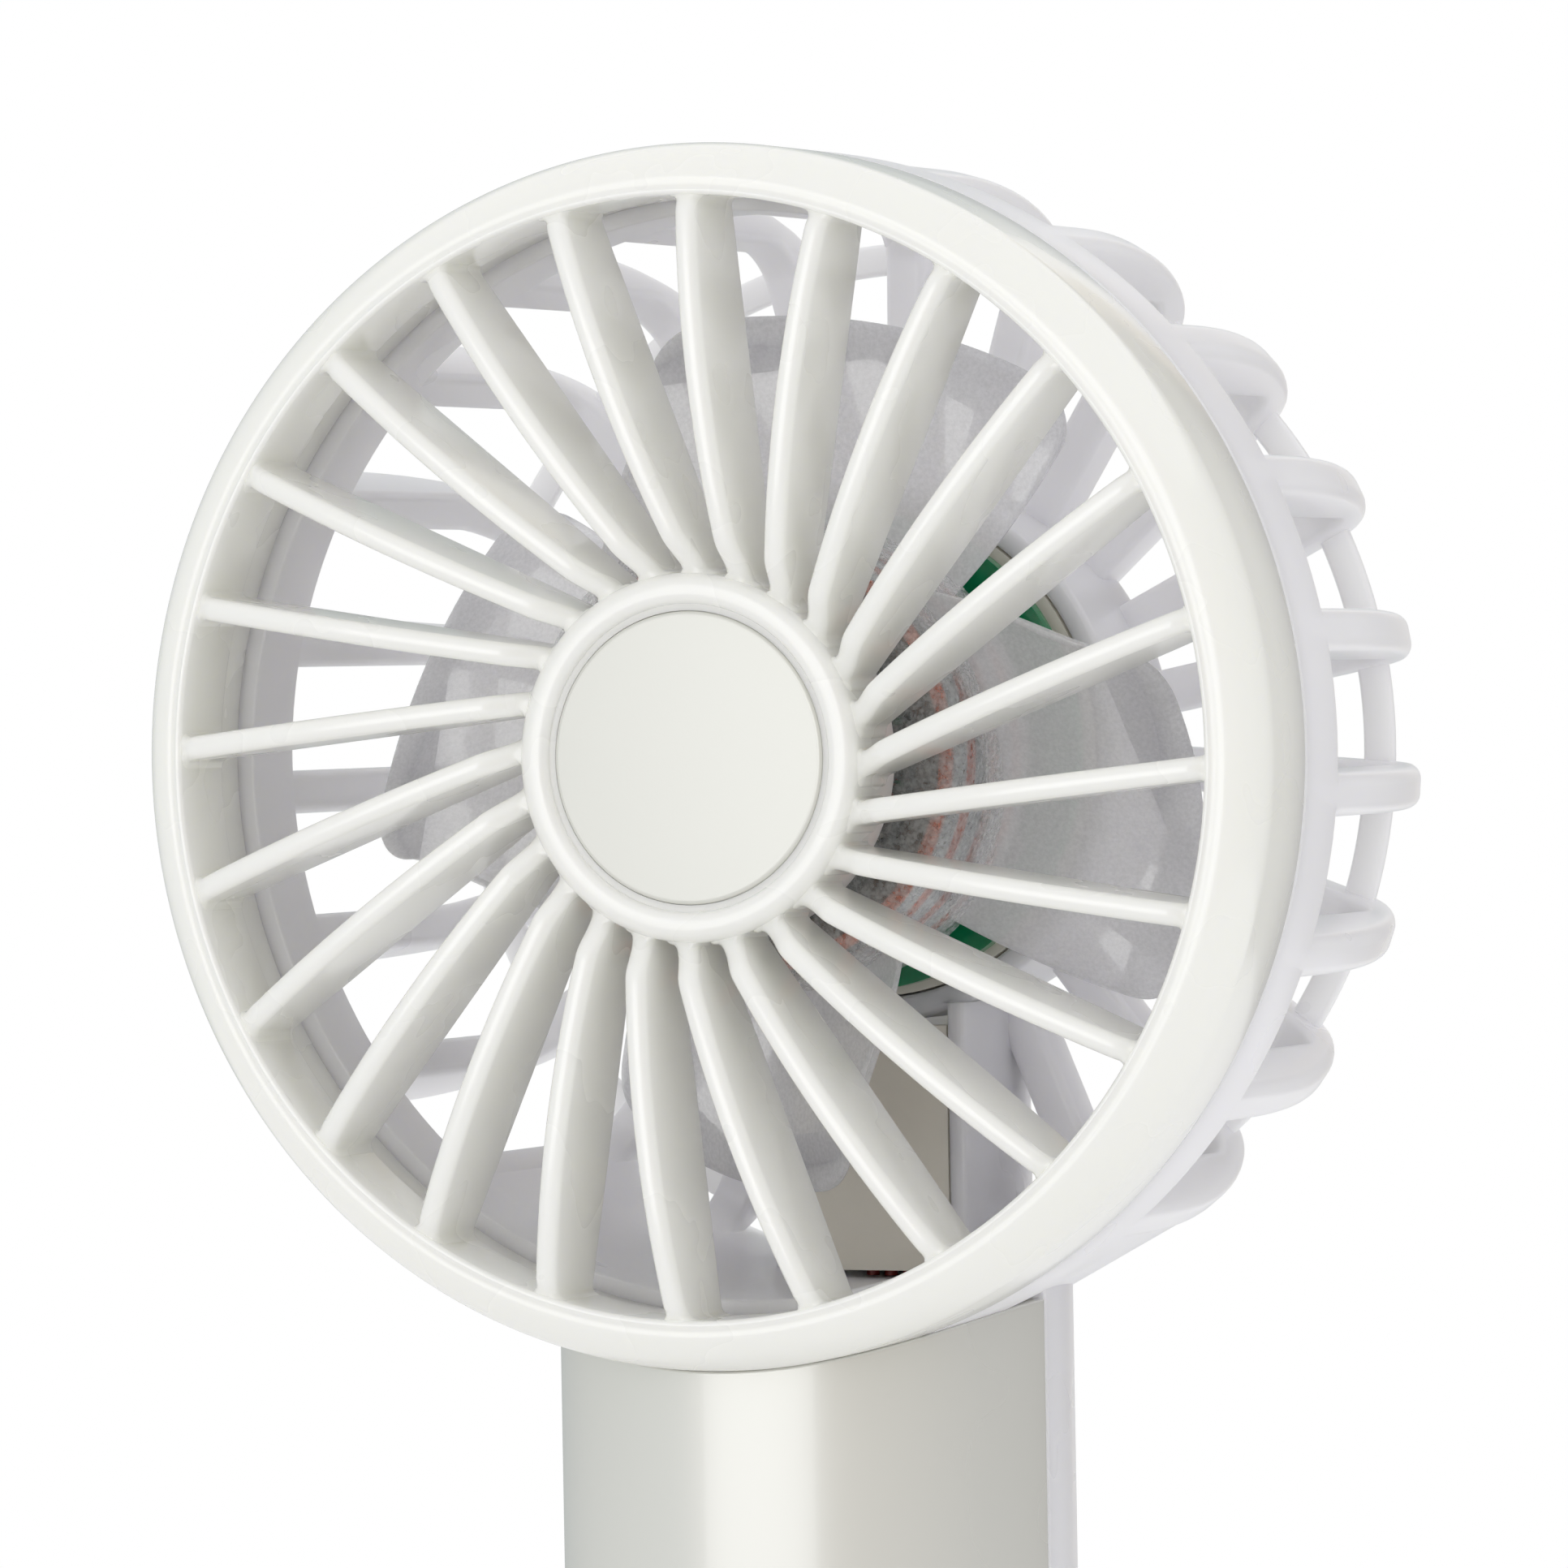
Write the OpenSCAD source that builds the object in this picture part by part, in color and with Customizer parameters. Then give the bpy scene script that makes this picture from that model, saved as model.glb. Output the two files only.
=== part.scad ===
// Handheld electric fan: a round caged head on a cylindrical battery handle.
// The handle stands on the XY plane with its axis on Z; the fan blows towards -Y.
// Head shapes are drawn in front view (x right, z up) or as half sections (radius, depth),
// where depth is measured backwards from the plane of the air opening.

/* [Head] */
// Height of the fan's axis above the flat bottom of the handle
axis_height = 160; // [150:1:185]
// Distance of the air opening's plane in front of the handle's axis
head_offset = 22.8; // [21.5:0.1:24.5]
// Radius of the air opening in the front ring
opening_r = 40.6; // [39.5:0.1:46]
// Width of the front ring, which is also the radius of its rounded front edge
ring_w = 3.9; // [3.4:0.1:4.6]
// Depth of the front grille's ring, from the opening back to the parting line
grille_depth = 10.1; // [9:0.1:12]
// Length of the plain band at the front of the rear shell
band_len = 6.8; // [5:0.1:9]
// Depth of the whole head from the opening plane to the rear face
head_depth = 46.5; // [45.5:0.1:50]
// Inner radius of the air duct in the rear shell
duct_r = 39.8; // [38.5:0.1:40.2]
// Rounding of the head's rear edge, measured across the fan's axis
rear_round = 7.2; // [5:0.2:9]
// Rounding of the head's rear edge, measured along the fan's axis
rear_reach = 24; // [18:0.5:26]

/* [Louvres] */
// Number of louvres in the front grille
louvre_count = 24; // [16:1:28]
// Thickness of one louvre
louvre_t = 1.7; // [1.2:0.1:2]
// Distance by which each louvre's line passes beside the fan's axis
louvre_swirl = 5.5; // [0:0.5:7]
// Distance by which the louvres' domed edges stand in front of the opening plane
louvre_crest = 1.8; // [1:0.1:2.4]
// Radius of the louvres' domed front edge
louvre_dome_r = 49; // [45:1:60]
// Distance of the dome's crest from the fan's axis
louvre_crest_r = 27.2; // [25:0.2:29]
// Depth of the louvres' flat rear edges
louvre_back = 6.8; // [5.5:0.1:8]

/* [Grille hub] */
// Outer radius of the grille's hub
hub_r = 13.4; // [11.5:0.1:15.5]
// Thickness of the hub's rounded rim
hub_rim_t = 2.6; // [2:0.1:3]
// Depth of the rim's front edge
hub_front = 0.9; // [0.5:0.1:1.2]
// Depth of the hub skirt's rear edge
hub_back = 8.6; // [7.5:0.1:9.2]
// Radius of the trim disc in the hub
disc_r = 10.5; // [8.5:0.1:10.6]
// Thickness of the trim disc
disc_t = 0.9; // [0.6:0.1:1.2]

/* [Rear cage] */
// Number of ribs round the rear cage, if none were hidden by the neck
rib_count = 23; // [17:2:25]
// Thickness of one cage rib
rib_t = 3.2; // [2.4:0.1:3.4]
// Width of the ribs across the rear face, measured along the fan's axis
arm_w = 5; // [4:0.1:5.8]
// Inner radius of the thin hoop that ties the ribs
hoop_r = 36.3; // [33:0.1:37]
// Width of the hoop
hoop_w = 2.4; // [1.8:0.1:3]
// Thickness of the hoop
hoop_t = 1; // [0.8:0.1:1.6]
// Outer radius of the motor cup at the middle of the rear cage
cup_r = 20.5; // [20:0.1:22]
// Depth of the motor cup's front rim
cup_front = 34; // [33.8:0.1:35]
// Half the width of the wire column below the motor cup
column_half_w = 8; // [7:0.1:9]
// Depth of the wire column's front
column_front = 33; // [32.6:0.1:34]
// Distance below the fan's axis where the fairing leaves the head
neck_drop = 34.6; // [31:0.1:35]
// Distance below the fan's axis where the fairing meets the handle
handle_meet = 39.6; // [39:0.1:41]

/* [Handle] */
// Outer radius of the handle
handle_r = 19.15; // [18.5:0.05:22]
// Wall of the two handle shells
shell_wall = 1.8; // [1.4:0.1:2.2]
// Distance of the shells' parting plane in front of the handle's axis
parting_y = 1.4; // [0:0.1:3]
// Height of the base cap's visible rim
cap_h = 3; // [2:0.1:5]
// Height of the base cap's plug inside the shells
plug_h = 5; // [4:0.1:7]
// Hairline seam between fixed shells
seam = 0.15; // [0.1:0.01:0.2]

/* [Impeller] */
// Number of impeller blades
blade_count = 4; // [3:1:5]
// Tip radius of the impeller
blade_tip_r = 32.4; // [30:0.1:36]
// Thickness of a blade
blade_t = 1.1; // [0.9:0.1:1.6]
// Depth of the blades' front edges
blade_front = 12.6; // [12:0.1:14]
// Depth of the blades' rear edges at the tip
blade_back = 29.6; // [26:0.1:30.5]
// Angle covered by a blade at its tip
blade_chord = 54; // [44:1:60]
// Angle by which a blade's front edge leads at the hub, compared with its tip
blade_sweep = 32; // [20:1:38]
// Outer radius of the impeller's hub
rotor_r = 17.6; // [17:0.1:18.2]
// Depth of the hub's closed front
rotor_front = 10.6; // [10:0.1:11.5]
// Depth of the hub's open rear edge
rotor_back = 23.2; // [22:0.1:25]
// Wall of the hub
rotor_wall = 1.6; // [1.2:0.1:1.9]

/* [Motor] */
// Radius of the motor's shaft
shaft_r = 1; // [0.8:0.05:1.2]
// Radial running gap of the shaft in its bearings
shaft_gap = 0.03; // [0.02:0.01:0.06]
// Thickness of the steel yoke ring
yoke_t = 1; // [0.8:0.1:1.2]
// Distance by which the yoke stands out behind the impeller's hub
yoke_proud = 4.6; // [2:0.1:5]
// Thickness of the magnet ring
magnet_t = 2.2; // [1.8:0.1:2.6]
// Gap between the magnet ring and the stator
air_gap = 0.5; // [0.4:0.05:0.8]
// Number of stator poles
pole_count = 9; // [6:3:9]
// Outer radius of the bearing tube
tube_r = 3.2; // [3:0.1:3.6]
// Outer radius of a sleeve bearing
bearing_r = 2.2; // [1.9:0.1:2.4]
// Radius of the motor's round circuit board
ring_board_r = 18; // [17.8:0.1:18.2]
// Thickness of every circuit board
board_t = 1.2; // [0.8:0.1:1.6]

/* [Controls] */
// Distance of the power button below the fan's axis
button_drop = 70; // [68:1:80]
// Radius of the power button
button_r = 6; // [5:0.1:6.6]
// Travel of the power button
button_travel = 0.5; // [0.3:0.05:0.6]
// Length of the control board
control_len = 42; // [38:1:46]
// Width of the control board
control_w = 16; // [14:0.5:20]

/* [Battery and charging] */
// Radius of the lithium cell
cell_r = 9.1; // [8.8:0.05:9.3]
// Length of the lithium cell
cell_len = 65; // [60:0.5:68]
// Width of the charging socket
usb_w = 8.9; // [8.7:0.1:9]
// Height of the charging socket
usb_h = 3.2; // [3:0.1:3.3]

/* [Hidden] */
$fn = 96;
eps = 0.01;

// Head
ring_r = opening_r + ring_w;
groove_r = opening_r + 0.32 * ring_w;
groove_w = 0.36 * ring_w;
groove_depth = 2.4;
band_back = grille_depth + band_len;
arm_front = head_depth - arm_w;
rib_turn = 0.6;
rear_steps = 12;
neck_inset = 0.4;
louvre_foot_r = hub_r - 1;
louvre_reach_r = opening_r + 0.6;
louvre_dome_depth = louvre_dome_r - louvre_crest;
louvre_first = 6.2;
hub_floor = hub_front + 0.8 + disc_t;
hub_floor_t = 1.4;

// Motor cup and its contents, by depth behind the opening plane
cup_wall = 1.8;
cup_floor_t = 1.6;
base_front = cup_front;
base_t = 2;
base_r = cup_r - cup_wall - 0.15;
standoff_h = 1;
ring_board_back = base_front - standoff_h;
ring_board_front = ring_board_back - board_t;
motor_screw_pcd_r = 14.2;
motor_screw_r = 0.8;
motor_screw_head_r = 1.5;
motor_screw_head_h = 0.9;
motor_screw_len = 8;
motor_screw_angles = [90, 210, 330];
post_r = 2.2;
yoke_r = rotor_r - rotor_wall - 0.03;
magnet_r = yoke_r - yoke_t - 0.03;
stator_r = magnet_r - magnet_t - air_gap;
yoke_front = rotor_front + rotor_wall + 0.6;
yoke_back = rotor_back + yoke_proud;
magnet_len = yoke_back - yoke_front - 2;
stator_front = yoke_front + 3;
stator_back = yoke_back - 3;
pole_w = 2 * stator_r * sin(180 / pole_count) * 0.22;
shoe_t = 1.2;
core_ring_r = tube_r + 2.2;
coil_t = 0.65;
bobbin_t = 0.3;
tube_front = stator_front - 1.2;
bearing_len = 3;
shaft_front = rotor_front + 0.4;
boss_r = 3;
boss_back = rotor_front + rotor_wall + 0.7;
clip_front = base_front + base_t + 0.4;
clip_t = 0.4;
shaft_back = clip_front + clip_t + 0.6;

// Wires and their channel
cover_t = 1.2;
wire_r = 0.5;
wire_pitch = 1.5;
wire_drop = 14.6;
wire_depth = base_front + base_t + 0.8;
channel_wall = 1.5;

// Handle, by height above the bottom
bore_r = handle_r - shell_wall;
saddle_r = ring_r + 0.3;
handle_top = axis_height - saddle_r;
shell_bottom = cap_h + seam;
shell_h = axis_height - neck_drop - shell_bottom;
plug_top = cap_h + plug_h;
plug_wall = 1.6;
button_z = axis_height - button_drop;
pad_back = -15.2;
flange_r = button_r + 1.4;
flange_t = 1;
running_gap = 0.3;
button_gap = 0.2;
button_face = -handle_r - 0.5;
control_front = pad_back + running_gap + flange_t + button_travel + 0.35 + 2.6;
control_back = control_front + board_t;
switch_w = 6;
switch_h = 2.6;
plunger_r = 1.6;
plunger_gap = 0.05;
board_boss_r = 2.2;
board_screw_r = 0.7;
board_screw_head_r = 1.5;
screw_reach = 2.5;
board_boss_z = control_len / 2 - 3;
led_pitch = 2.6;
led_count = 4;
pipe_drop = 12.5;
pipe_h = 1.6;
cell_y = bore_r - cell_r - 3.2;
charge_z = plug_top + 1;
charge_h = 16;
charge_w = 15;
charge_lip = 6;
cell_z = charge_z + charge_h + 3.4;
cradle_t = 1.4;
cradle_top = cell_z + cell_len + 0.5 + cradle_t;
rail_reach = 3;
cup_len = 9;
tab_w = 6;
tab_t = 0.2;
usb_z = charge_z + charge_h / 2;
usb_len = 7.3;
tongue_w = usb_w - 2.3;
tongue_t = 0.7;
usb_mouth_y = sqrt(handle_r ^ 2 - (usb_w / 2) ^ 2) - 0.3;
charge_front = usb_mouth_y - usb_len;
charge_back = sqrt(bore_r ^ 2 - (charge_w / 2) ^ 2) - 0.2;

// ---- frames and shared shapes ----

// Places children drawn about the fan's axis at the middle of the opening plane.
module head() {
    translate([0, -head_offset, axis_height]) children();
}

// Revolves a half section (radius, depth) round the fan's axis.
module lathe() {
    head() rotate([-90, 0, 0]) rotate_extrude() children();
}

// Extrudes a front view between two depths behind the opening plane.
module slab(from, to) {
    head() translate([0, to, 0]) rotate([90, 0, 0]) linear_extrude(to - from) children();
}

// Rectangle in a half section from two corners.
module cell(r0, d0, r1, d1) {
    translate([r0, d0]) square([r1 - r0, d1 - d0]);
}

// Flat ring in front view.
module annulus(outer, inner) {
    difference() {
        circle(outer);
        circle(inner);
    }
}

// Solid along the Y axis at a place in the handle.
module bar_y(x, z, r, y0, y1) {
    translate([x, y1, z]) rotate([90, 0, 0]) cylinder(r = r, h = y1 - y0);
}

// ---- front grille ----

// Section of the ring: quarter-round front edge and a groove for the rear shell's tongue.
module ring_section() {
    intersection() {
        translate([opening_r, ring_w]) circle(ring_w);
        cell(opening_r, 0, ring_r, ring_w + eps);
    }
    difference() {
        cell(opening_r, ring_w, ring_r, grille_depth);
        cell(groove_r, grille_depth - groove_depth, groove_r + groove_w, grille_depth + 1);
    }
}

// Section of the hub: rounded rim, skirt and the floor behind the trim disc.
module hub_section() {
    rim = hub_rim_t / 2;
    translate([hub_r - rim, hub_front + rim]) circle(rim);
    cell(hub_r - rim, hub_front + rim, hub_r, hub_back);
    cell(hub_r - hub_rim_t, hub_front + rim, hub_r - rim + eps, hub_floor + hub_floor_t);
    cell(0, hub_floor, hub_r - hub_rim_t + eps, hub_floor + hub_floor_t);
}

// One louvre: a plate whose round front edge follows the dome, with a flat rear edge.
module louvre() {
    half = louvre_t / 2;
    reach = sqrt(louvre_reach_r ^ 2 - louvre_swirl ^ 2);
    foot = sqrt(louvre_foot_r ^ 2 - louvre_swirl ^ 2);
    translate([0, -louvre_swirl, 0]) intersection() {
        translate([louvre_crest_r, 0, louvre_dome_depth]) rotate([90, 0, 0])
            rotate_extrude($fn = 180) {
                translate([louvre_dome_r - half, 0]) circle(half, $fn = 24);
                translate([louvre_dome_r - 12, -half]) square([12 - half, louvre_t]);
            }
        translate([foot, -louvre_t, -louvre_crest - 1])
            cube([reach - foot, 2 * louvre_t, louvre_back + louvre_crest + 1]);
    }
}

module front_grille() {
    color("#e3e4df") {
        lathe() ring_section();
        lathe() hub_section();
        for (i = [0 : louvre_count - 1])
            head() rotate([-90, 0, 0]) rotate([0, 0, -louvre_first - i * 360 / louvre_count])
                mirror([0, 1, 0]) louvre();
    }
}

module hub_disc() {
    color("#ecebe6") lathe() cell(0, hub_floor - disc_t, disc_r, hub_floor);
}

// ---- rear shell ----

// Rear edge of the head in half section: a quarter of an ellipse from the side to the rear face.
function rear_edge(inset = 0) = [for (i = [0 : rear_steps]) let (t = i * 90 / rear_steps)
    [ring_r - inset - rear_round * (1 - cos(t)), head_depth - inset - rear_reach * (1 - sin(t))]];

// Outline of one cage rib in half section: a straight side that turns in across the rear face.
module rib_section() {
    inner = cup_r - 1;
    difference() {
        polygon(concat([[inner, band_back - 1], [ring_r, band_back - 1]], rear_edge(), [[inner, head_depth]]));
        cell(0, 0, duct_r - 3, arm_front);
        cell(0, 0, duct_r, arm_front - 3);
        translate([duct_r - 3, arm_front - 3]) circle(3);
    }
}

module rib(angle) {
    head() rotate([0, -angle, 0]) translate([0, 0, -rib_t / 2])
        linear_extrude(rib_t) rib_section();
}

// Section of the motor cup, closed at the rear with a rounded edge.
module cup_section() {
    inner = cup_r - cup_wall;
    round = 2;
    difference() {
        union() {
            cell(0, cup_front, cup_r, head_depth - round);
            cell(0, head_depth - round - eps, cup_r - round, head_depth);
            translate([cup_r - round, head_depth - round]) circle(round);
        }
        cell(-1, cup_front - 1, inner, base_front + base_t);
        cell(-1, cup_front - 1, inner - 0.8, head_depth - cup_floor_t);
    }
}

// Outline of the whole rear head in half section, filled to the fan's axis.
module head_section(inset = 0) {
    front = grille_depth + seam;
    polygon(concat([[0, front], [ring_r - inset, front]], rear_edge(inset), [[0, head_depth - inset]]));
}

// Fairing between the head's lower cap and the handle, before it is hollowed.
module neck_solid() {
    slice = 0.5;
    difference() {
        hull() {
            translate([0, 0, axis_height - handle_meet - slice])
                cylinder(r = handle_r, h = slice, $fn = 64);
            intersection() {
                lathe($fn = 72) head_section(neck_inset);
                translate([-ring_r, -head_offset, 0])
                    cube([2 * ring_r, head_depth + 1, axis_height - neck_drop]);
            }
        }
        // nothing in front of the parting line, where the front grille sits
        translate([-ring_r, -head_offset - 1, 0])
            cube([2 * ring_r, grille_depth + seam + 1, axis_height]);
        // the front handle shell ends under the round head
        difference() {
            translate([-ring_r, -head_offset - 1, 0])
                cube([2 * ring_r, head_offset + 1 - parting_y, axis_height]);
            head() translate([0, -2, 0]) rotate([-90, 0, 0]) cylinder(r = ring_r, h = head_depth);
        }
    }
}

module rear_shell() {
    color("#d3d2d4") {
        // plain band with the tongue that seats in the grille's groove
        lathe() cell(duct_r, grille_depth + seam, ring_r, band_back);
        lathe() cell(groove_r + 0.1, grille_depth - groove_depth + 0.2,
            groove_r + groove_w - 0.1, grille_depth + seam + eps);
        difference() {
            union() {
                for (i = [0 : rib_count - 1])
                    if (abs(i - rib_count / 2) > 1.2)
                        rib(90 - rib_turn + i * 360 / rib_count);
                lathe() cup_section();
                // wire column from the cup down to the neck
                intersection() {
                    slab(column_front, head_depth - 0.1) translate([-column_half_w, -ring_r])
                        square([2 * column_half_w, ring_r - cup_r + 2]);
                    lathe() head_section();
                }
            }
            wire_channel();
        }
        lathe() cell(hoop_r, head_depth - 3, hoop_r + hoop_w, head_depth - 3 + hoop_t);
        motor_posts();
        difference() {
            union() {
                difference() {
                    neck_solid();
                    slab(0, head_depth + 1) circle(duct_r);
                }
                rear_handle();
            }
            handle_bore();
            wire_channel();
            usb_cut();
        }
    }
}

// Rear half of the handle, up to the head.
module rear_handle() {
    difference() {
        translate([0, 0, shell_bottom]) cylinder(r = handle_r, h = shell_h);
        translate([-handle_r - 1, -handle_r - 1 - parting_y, 0])
            cube([2 * handle_r + 2, handle_r + 1, axis_height]);
        slab(0, head_depth + 1) circle(duct_r);
    }
}

// Inside of the handle below the duct, with a wall left under the duct.
module handle_bore() {
    difference() {
        cylinder(r = bore_r, h = axis_height);
        slab(-1, head_depth + 1) circle(duct_r + shell_wall);
    }
}

// Passage for the motor's wires: down the column and through the duct wall.
module wire_channel() {
    half = column_half_w - channel_wall;
    slab(column_front - 1, head_depth - cup_floor_t)
        translate([-half, -duct_r + 1]) square([2 * half, duct_r - cup_r + 2]);
    slab(column_front - 1, head_offset + sqrt(bore_r ^ 2 - half ^ 2) - 0.1)
        translate([-half, -duct_r - 6]) square([2 * half, 10]);
}

// Three posts on the cup's floor that take the motor screws.
module motor_posts() {
    slab(base_front + base_t, head_depth - cup_floor_t + eps) difference() {
        for (a = motor_screw_angles) rotate(a) translate([motor_screw_pcd_r, 0]) circle(post_r);
        for (a = motor_screw_angles) rotate(a) translate([motor_screw_pcd_r, 0]) circle(motor_screw_r);
    }
}

module usb_outline(grow) {
    h = usb_h / 2 + grow;
    hull() {
        translate([usb_w / 2 - usb_h / 2, 0]) circle(h, $fn = 32);
        translate([usb_h / 2 - usb_w / 2, 0]) circle(h, $fn = 32);
    }
}

// Opening in the rear shell for the charging socket.
module usb_cut() {
    translate([0, handle_r + 1, usb_z]) rotate([90, 0, 0]) linear_extrude(shell_wall + 4) usb_outline(0.2);
}

// ---- front handle shell ----

module front_handle_shell() {
    color("#dedcd6") difference() {
        union() {
            difference() {
                translate([0, 0, shell_bottom]) cylinder(r = handle_r, h = shell_h);
                cylinder(r = bore_r, h = axis_height);
            }
            intersection() {
                cylinder(r = handle_r - 0.5, h = axis_height);
                translate([-flange_r - 2, -handle_r, button_z - flange_r - 2])
                    cube([2 * flange_r + 4, handle_r + pad_back, 2 * flange_r + 4]);
            }
            for (side = [-1, 1]) intersection() {
                cylinder(r = handle_r - 0.5, h = axis_height);
                bar_y(0, button_z + side * board_boss_z, board_boss_r, -handle_r, control_front);
            }
        }
        translate([-handle_r - 1, -parting_y - seam, 0])
            cube([2 * handle_r + 2, 2 * handle_r, axis_height]);
        head() translate([0, -1, 0]) rotate([-90, 0, 0]) cylinder(r = saddle_r, h = head_depth);
        bar_y(0, button_z, button_r + button_gap, -handle_r - 2, 0);
        for (side = [-1, 1])
            bar_y(0, button_z + side * board_boss_z, board_screw_r, pad_back, 0);
        pipe_block(0.05, -handle_r - 1, -bore_r + 3);
    }
}

// Long rounded block of the indicator window.
module pipe_block(grow, y0, y1) {
    half = led_pitch * (led_count - 1) / 2 + 0.8;
    h = pipe_h / 2 + grow;
    translate([0, y1, button_z - pipe_drop]) rotate([90, 0, 0]) linear_extrude(y1 - y0) {
        translate([-half, -h]) square([2 * half, 2 * h]);
        for (side = [-1, 1]) translate([side * half, 0]) circle(h, $fn = 32);
    }
}

module light_pipe() {
    color("#f4f4f0") intersection() {
        pipe_block(0, -handle_r - 1, control_front - 1.2);
        cylinder(r = handle_r - 0.1, h = axis_height);
    }
}

module base_cap() {
    round = 1.2;
    color("#dddbd6") rotate_extrude() difference() {
        union() {
            cell(0, 0, handle_r - round, cap_h);
            cell(0, round, handle_r, cap_h);
            translate([handle_r - round, round]) circle(round);
            cell(0, cap_h - eps, bore_r - 0.1, plug_top);
        }
        cell(-1, cap_h, bore_r - 0.1 - plug_wall, plug_top + 1);
    }
}

module channel_cover() {
    half = column_half_w - channel_wall - 0.1;
    color("#efe9da") slab(column_front + 0.2, column_front + 0.2 + cover_t) difference() {
        translate([-half, -duct_r + 0.6]) square([2 * half, duct_r - cup_r - 0.8]);
        circle(cup_r + 0.1);
    }
}

// ---- impeller ----

// Point of a blade: u runs from the front to the rear edge, v from hub to tip, and
// side is -1 or +1 for the two faces. The depth rises with u, steeper near the front.
function blade_lead(v) = 15 + blade_sweep * (1 - v) ^ 1.6;
function blade_trail(v) = 15 - blade_chord - 8 * (1 - v);
function blade_angle(u, v) = blade_lead(v) + (blade_trail(v) - blade_lead(v)) * u;
function blade_depth(u, v) = blade_front
    + (blade_back - (blade_back - rotor_back + 0.8) * (1 - v) - blade_front) * u * (1.42 - 0.42 * u);
function corner_cut(u) = let (e = min(1, min(u, 1 - u) / 0.16)) 4.2 * (1 - sqrt(1 - (1 - e) ^ 2));
function blade_point(u, v, side) = let (
    r = rotor_r - 0.8 + (blade_tip_r - corner_cut(u) - rotor_r + 0.8) * v,
    a = blade_angle(u, v))
    [r * cos(a), r * sin(a), blade_depth(u, v) + side * blade_t / 2];

// Blade as one closed surface; the blade's depth runs along its own Z.
module blade() {
    nu = 12;
    nv = 6;
    row = nv + 1;
    face = (nu + 1) * row;
    points = [for (side = [-1, 1]) for (i = [0 : nu]) for (j = [0 : nv])
        blade_point(i / nu, j / nv, side)];
    near = [for (i = [0 : nu - 1]) for (j = [0 : nv - 1]) let (k = i * row + j)
        each [[k, k + row, k + 1], [k + 1, k + row, k + row + 1]]];
    far = [for (f = near) [f[2] + face, f[1] + face, f[0] + face]];
    rim = concat(
        [for (i = [0 : nu - 1]) [i * row, (i + 1) * row]],
        [for (j = [0 : nv - 1]) [nu * row + j, nu * row + j + 1]],
        [for (i = [nu : -1 : 1]) [i * row + nv, (i - 1) * row + nv]],
        [for (j = [nv : -1 : 1]) [j, j - 1]]);
    wall = [for (e = rim) each [[e[1], e[0], e[1] + face], [e[0], e[0] + face, e[1] + face]]];
    polyhedron(points, concat(near, far, wall));
}

module impeller() {
    wall = rotor_wall;
    color("#dcdbe2") {
        lathe() difference() {
            union() {
                cell(0, rotor_front + 1.6, rotor_r, rotor_back);
                cell(0, rotor_front, rotor_r - 1.6, rotor_front + 1.7);
                translate([rotor_r - 1.6, rotor_front + 1.6]) circle(1.6);
            }
            cell(boss_r, rotor_front + wall, rotor_r - wall, rotor_back + 1);
            cell(-1, boss_back, boss_r + 1, rotor_back + 1);
            cell(-1, shaft_front, shaft_r, rotor_back);
        }
        for (i = [0 : blade_count - 1])
            head() rotate([90, 0, 0]) rotate([0, 0, i * 360 / blade_count])
                mirror([0, 0, 1]) blade();
    }
}

module rotor_yoke() {
    color("#b8babd") lathe() cell(yoke_r - yoke_t, yoke_front, yoke_r, yoke_back);
}

module magnet_ring() {
    color("#5a5b5e") lathe() cell(magnet_r - magnet_t, yoke_front + 1, magnet_r, yoke_front + 1 + magnet_len);
}

module motor_shaft() {
    color("#c9cbce") lathe() difference() {
        cell(0, shaft_front, shaft_r, shaft_back);
        cell(shaft_r - 0.25, clip_front - 0.05, shaft_r + 1, clip_front + clip_t + 0.05);
    }
}

module shaft_clip() {
    color("#8c8e91") slab(clip_front, clip_front + clip_t) difference() {
        circle(shaft_r + 0.9);
        circle(shaft_r - 0.22);
        translate([-0.3, 0]) square([0.6, shaft_r + 2]);
    }
}

// ---- motor ----

// Front view of the laminated core: ring, arms and pole shoes.
module core_view() {
    annulus(core_ring_r, tube_r + 0.05);
    for (i = [0 : pole_count - 1]) rotate(i * 360 / pole_count)
        translate([core_ring_r - 0.5, -pole_w / 2]) square([stator_r - core_ring_r, pole_w]);
    difference() {
        annulus(stator_r, stator_r - shoe_t);
        for (i = [0 : pole_count - 1]) rotate((i + 0.5) * 360 / pole_count)
            translate([0, -0.5]) square([stator_r + 1, 1]);
    }
}

module stator_core() {
    color("#9a9ca0") slab(stator_front, stator_back) core_view();
}

// Sleeve round one pole arm, in front view and depth, thick by t and standing off by gap.
module pole_sleeve(gap, t, inset) {
    r0 = core_ring_r + 0.3 + inset;
    r1 = stator_r - shoe_t - 0.2 - inset;
    w = pole_w / 2 + gap;
    d0 = stator_front - gap;
    d1 = stator_back + gap;
    difference() {
        translate([r0, -w - t, d0 - t]) cube([r1 - r0, 2 * (w + t), d1 - d0 + 2 * t]);
        translate([r0 - 1, -w, d0]) cube([r1 - r0 + 2, 2 * w, d1 - d0]);
    }
}

module round_poles() {
    for (i = [0 : pole_count - 1])
        head() rotate([-90, 0, 0]) rotate([0, 0, -i * 360 / pole_count]) children();
}

module stator_bobbins() {
    color("#efece2") round_poles() pole_sleeve(0.05, bobbin_t, 0);
}

module stator_coils() {
    color("#b5673a") round_poles() pole_sleeve(0.1 + bobbin_t, coil_t, 0.3);
}

module bearing(depth) {
    lathe() cell(shaft_r + shaft_gap, depth, bearing_r, depth + bearing_len);
}

module front_bearing() {
    color("#b08d57") bearing(tube_front + 0.2);
}

module rear_bearing() {
    color("#b08d57") bearing(base_front + base_t - 0.2 - bearing_len);
}

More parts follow.
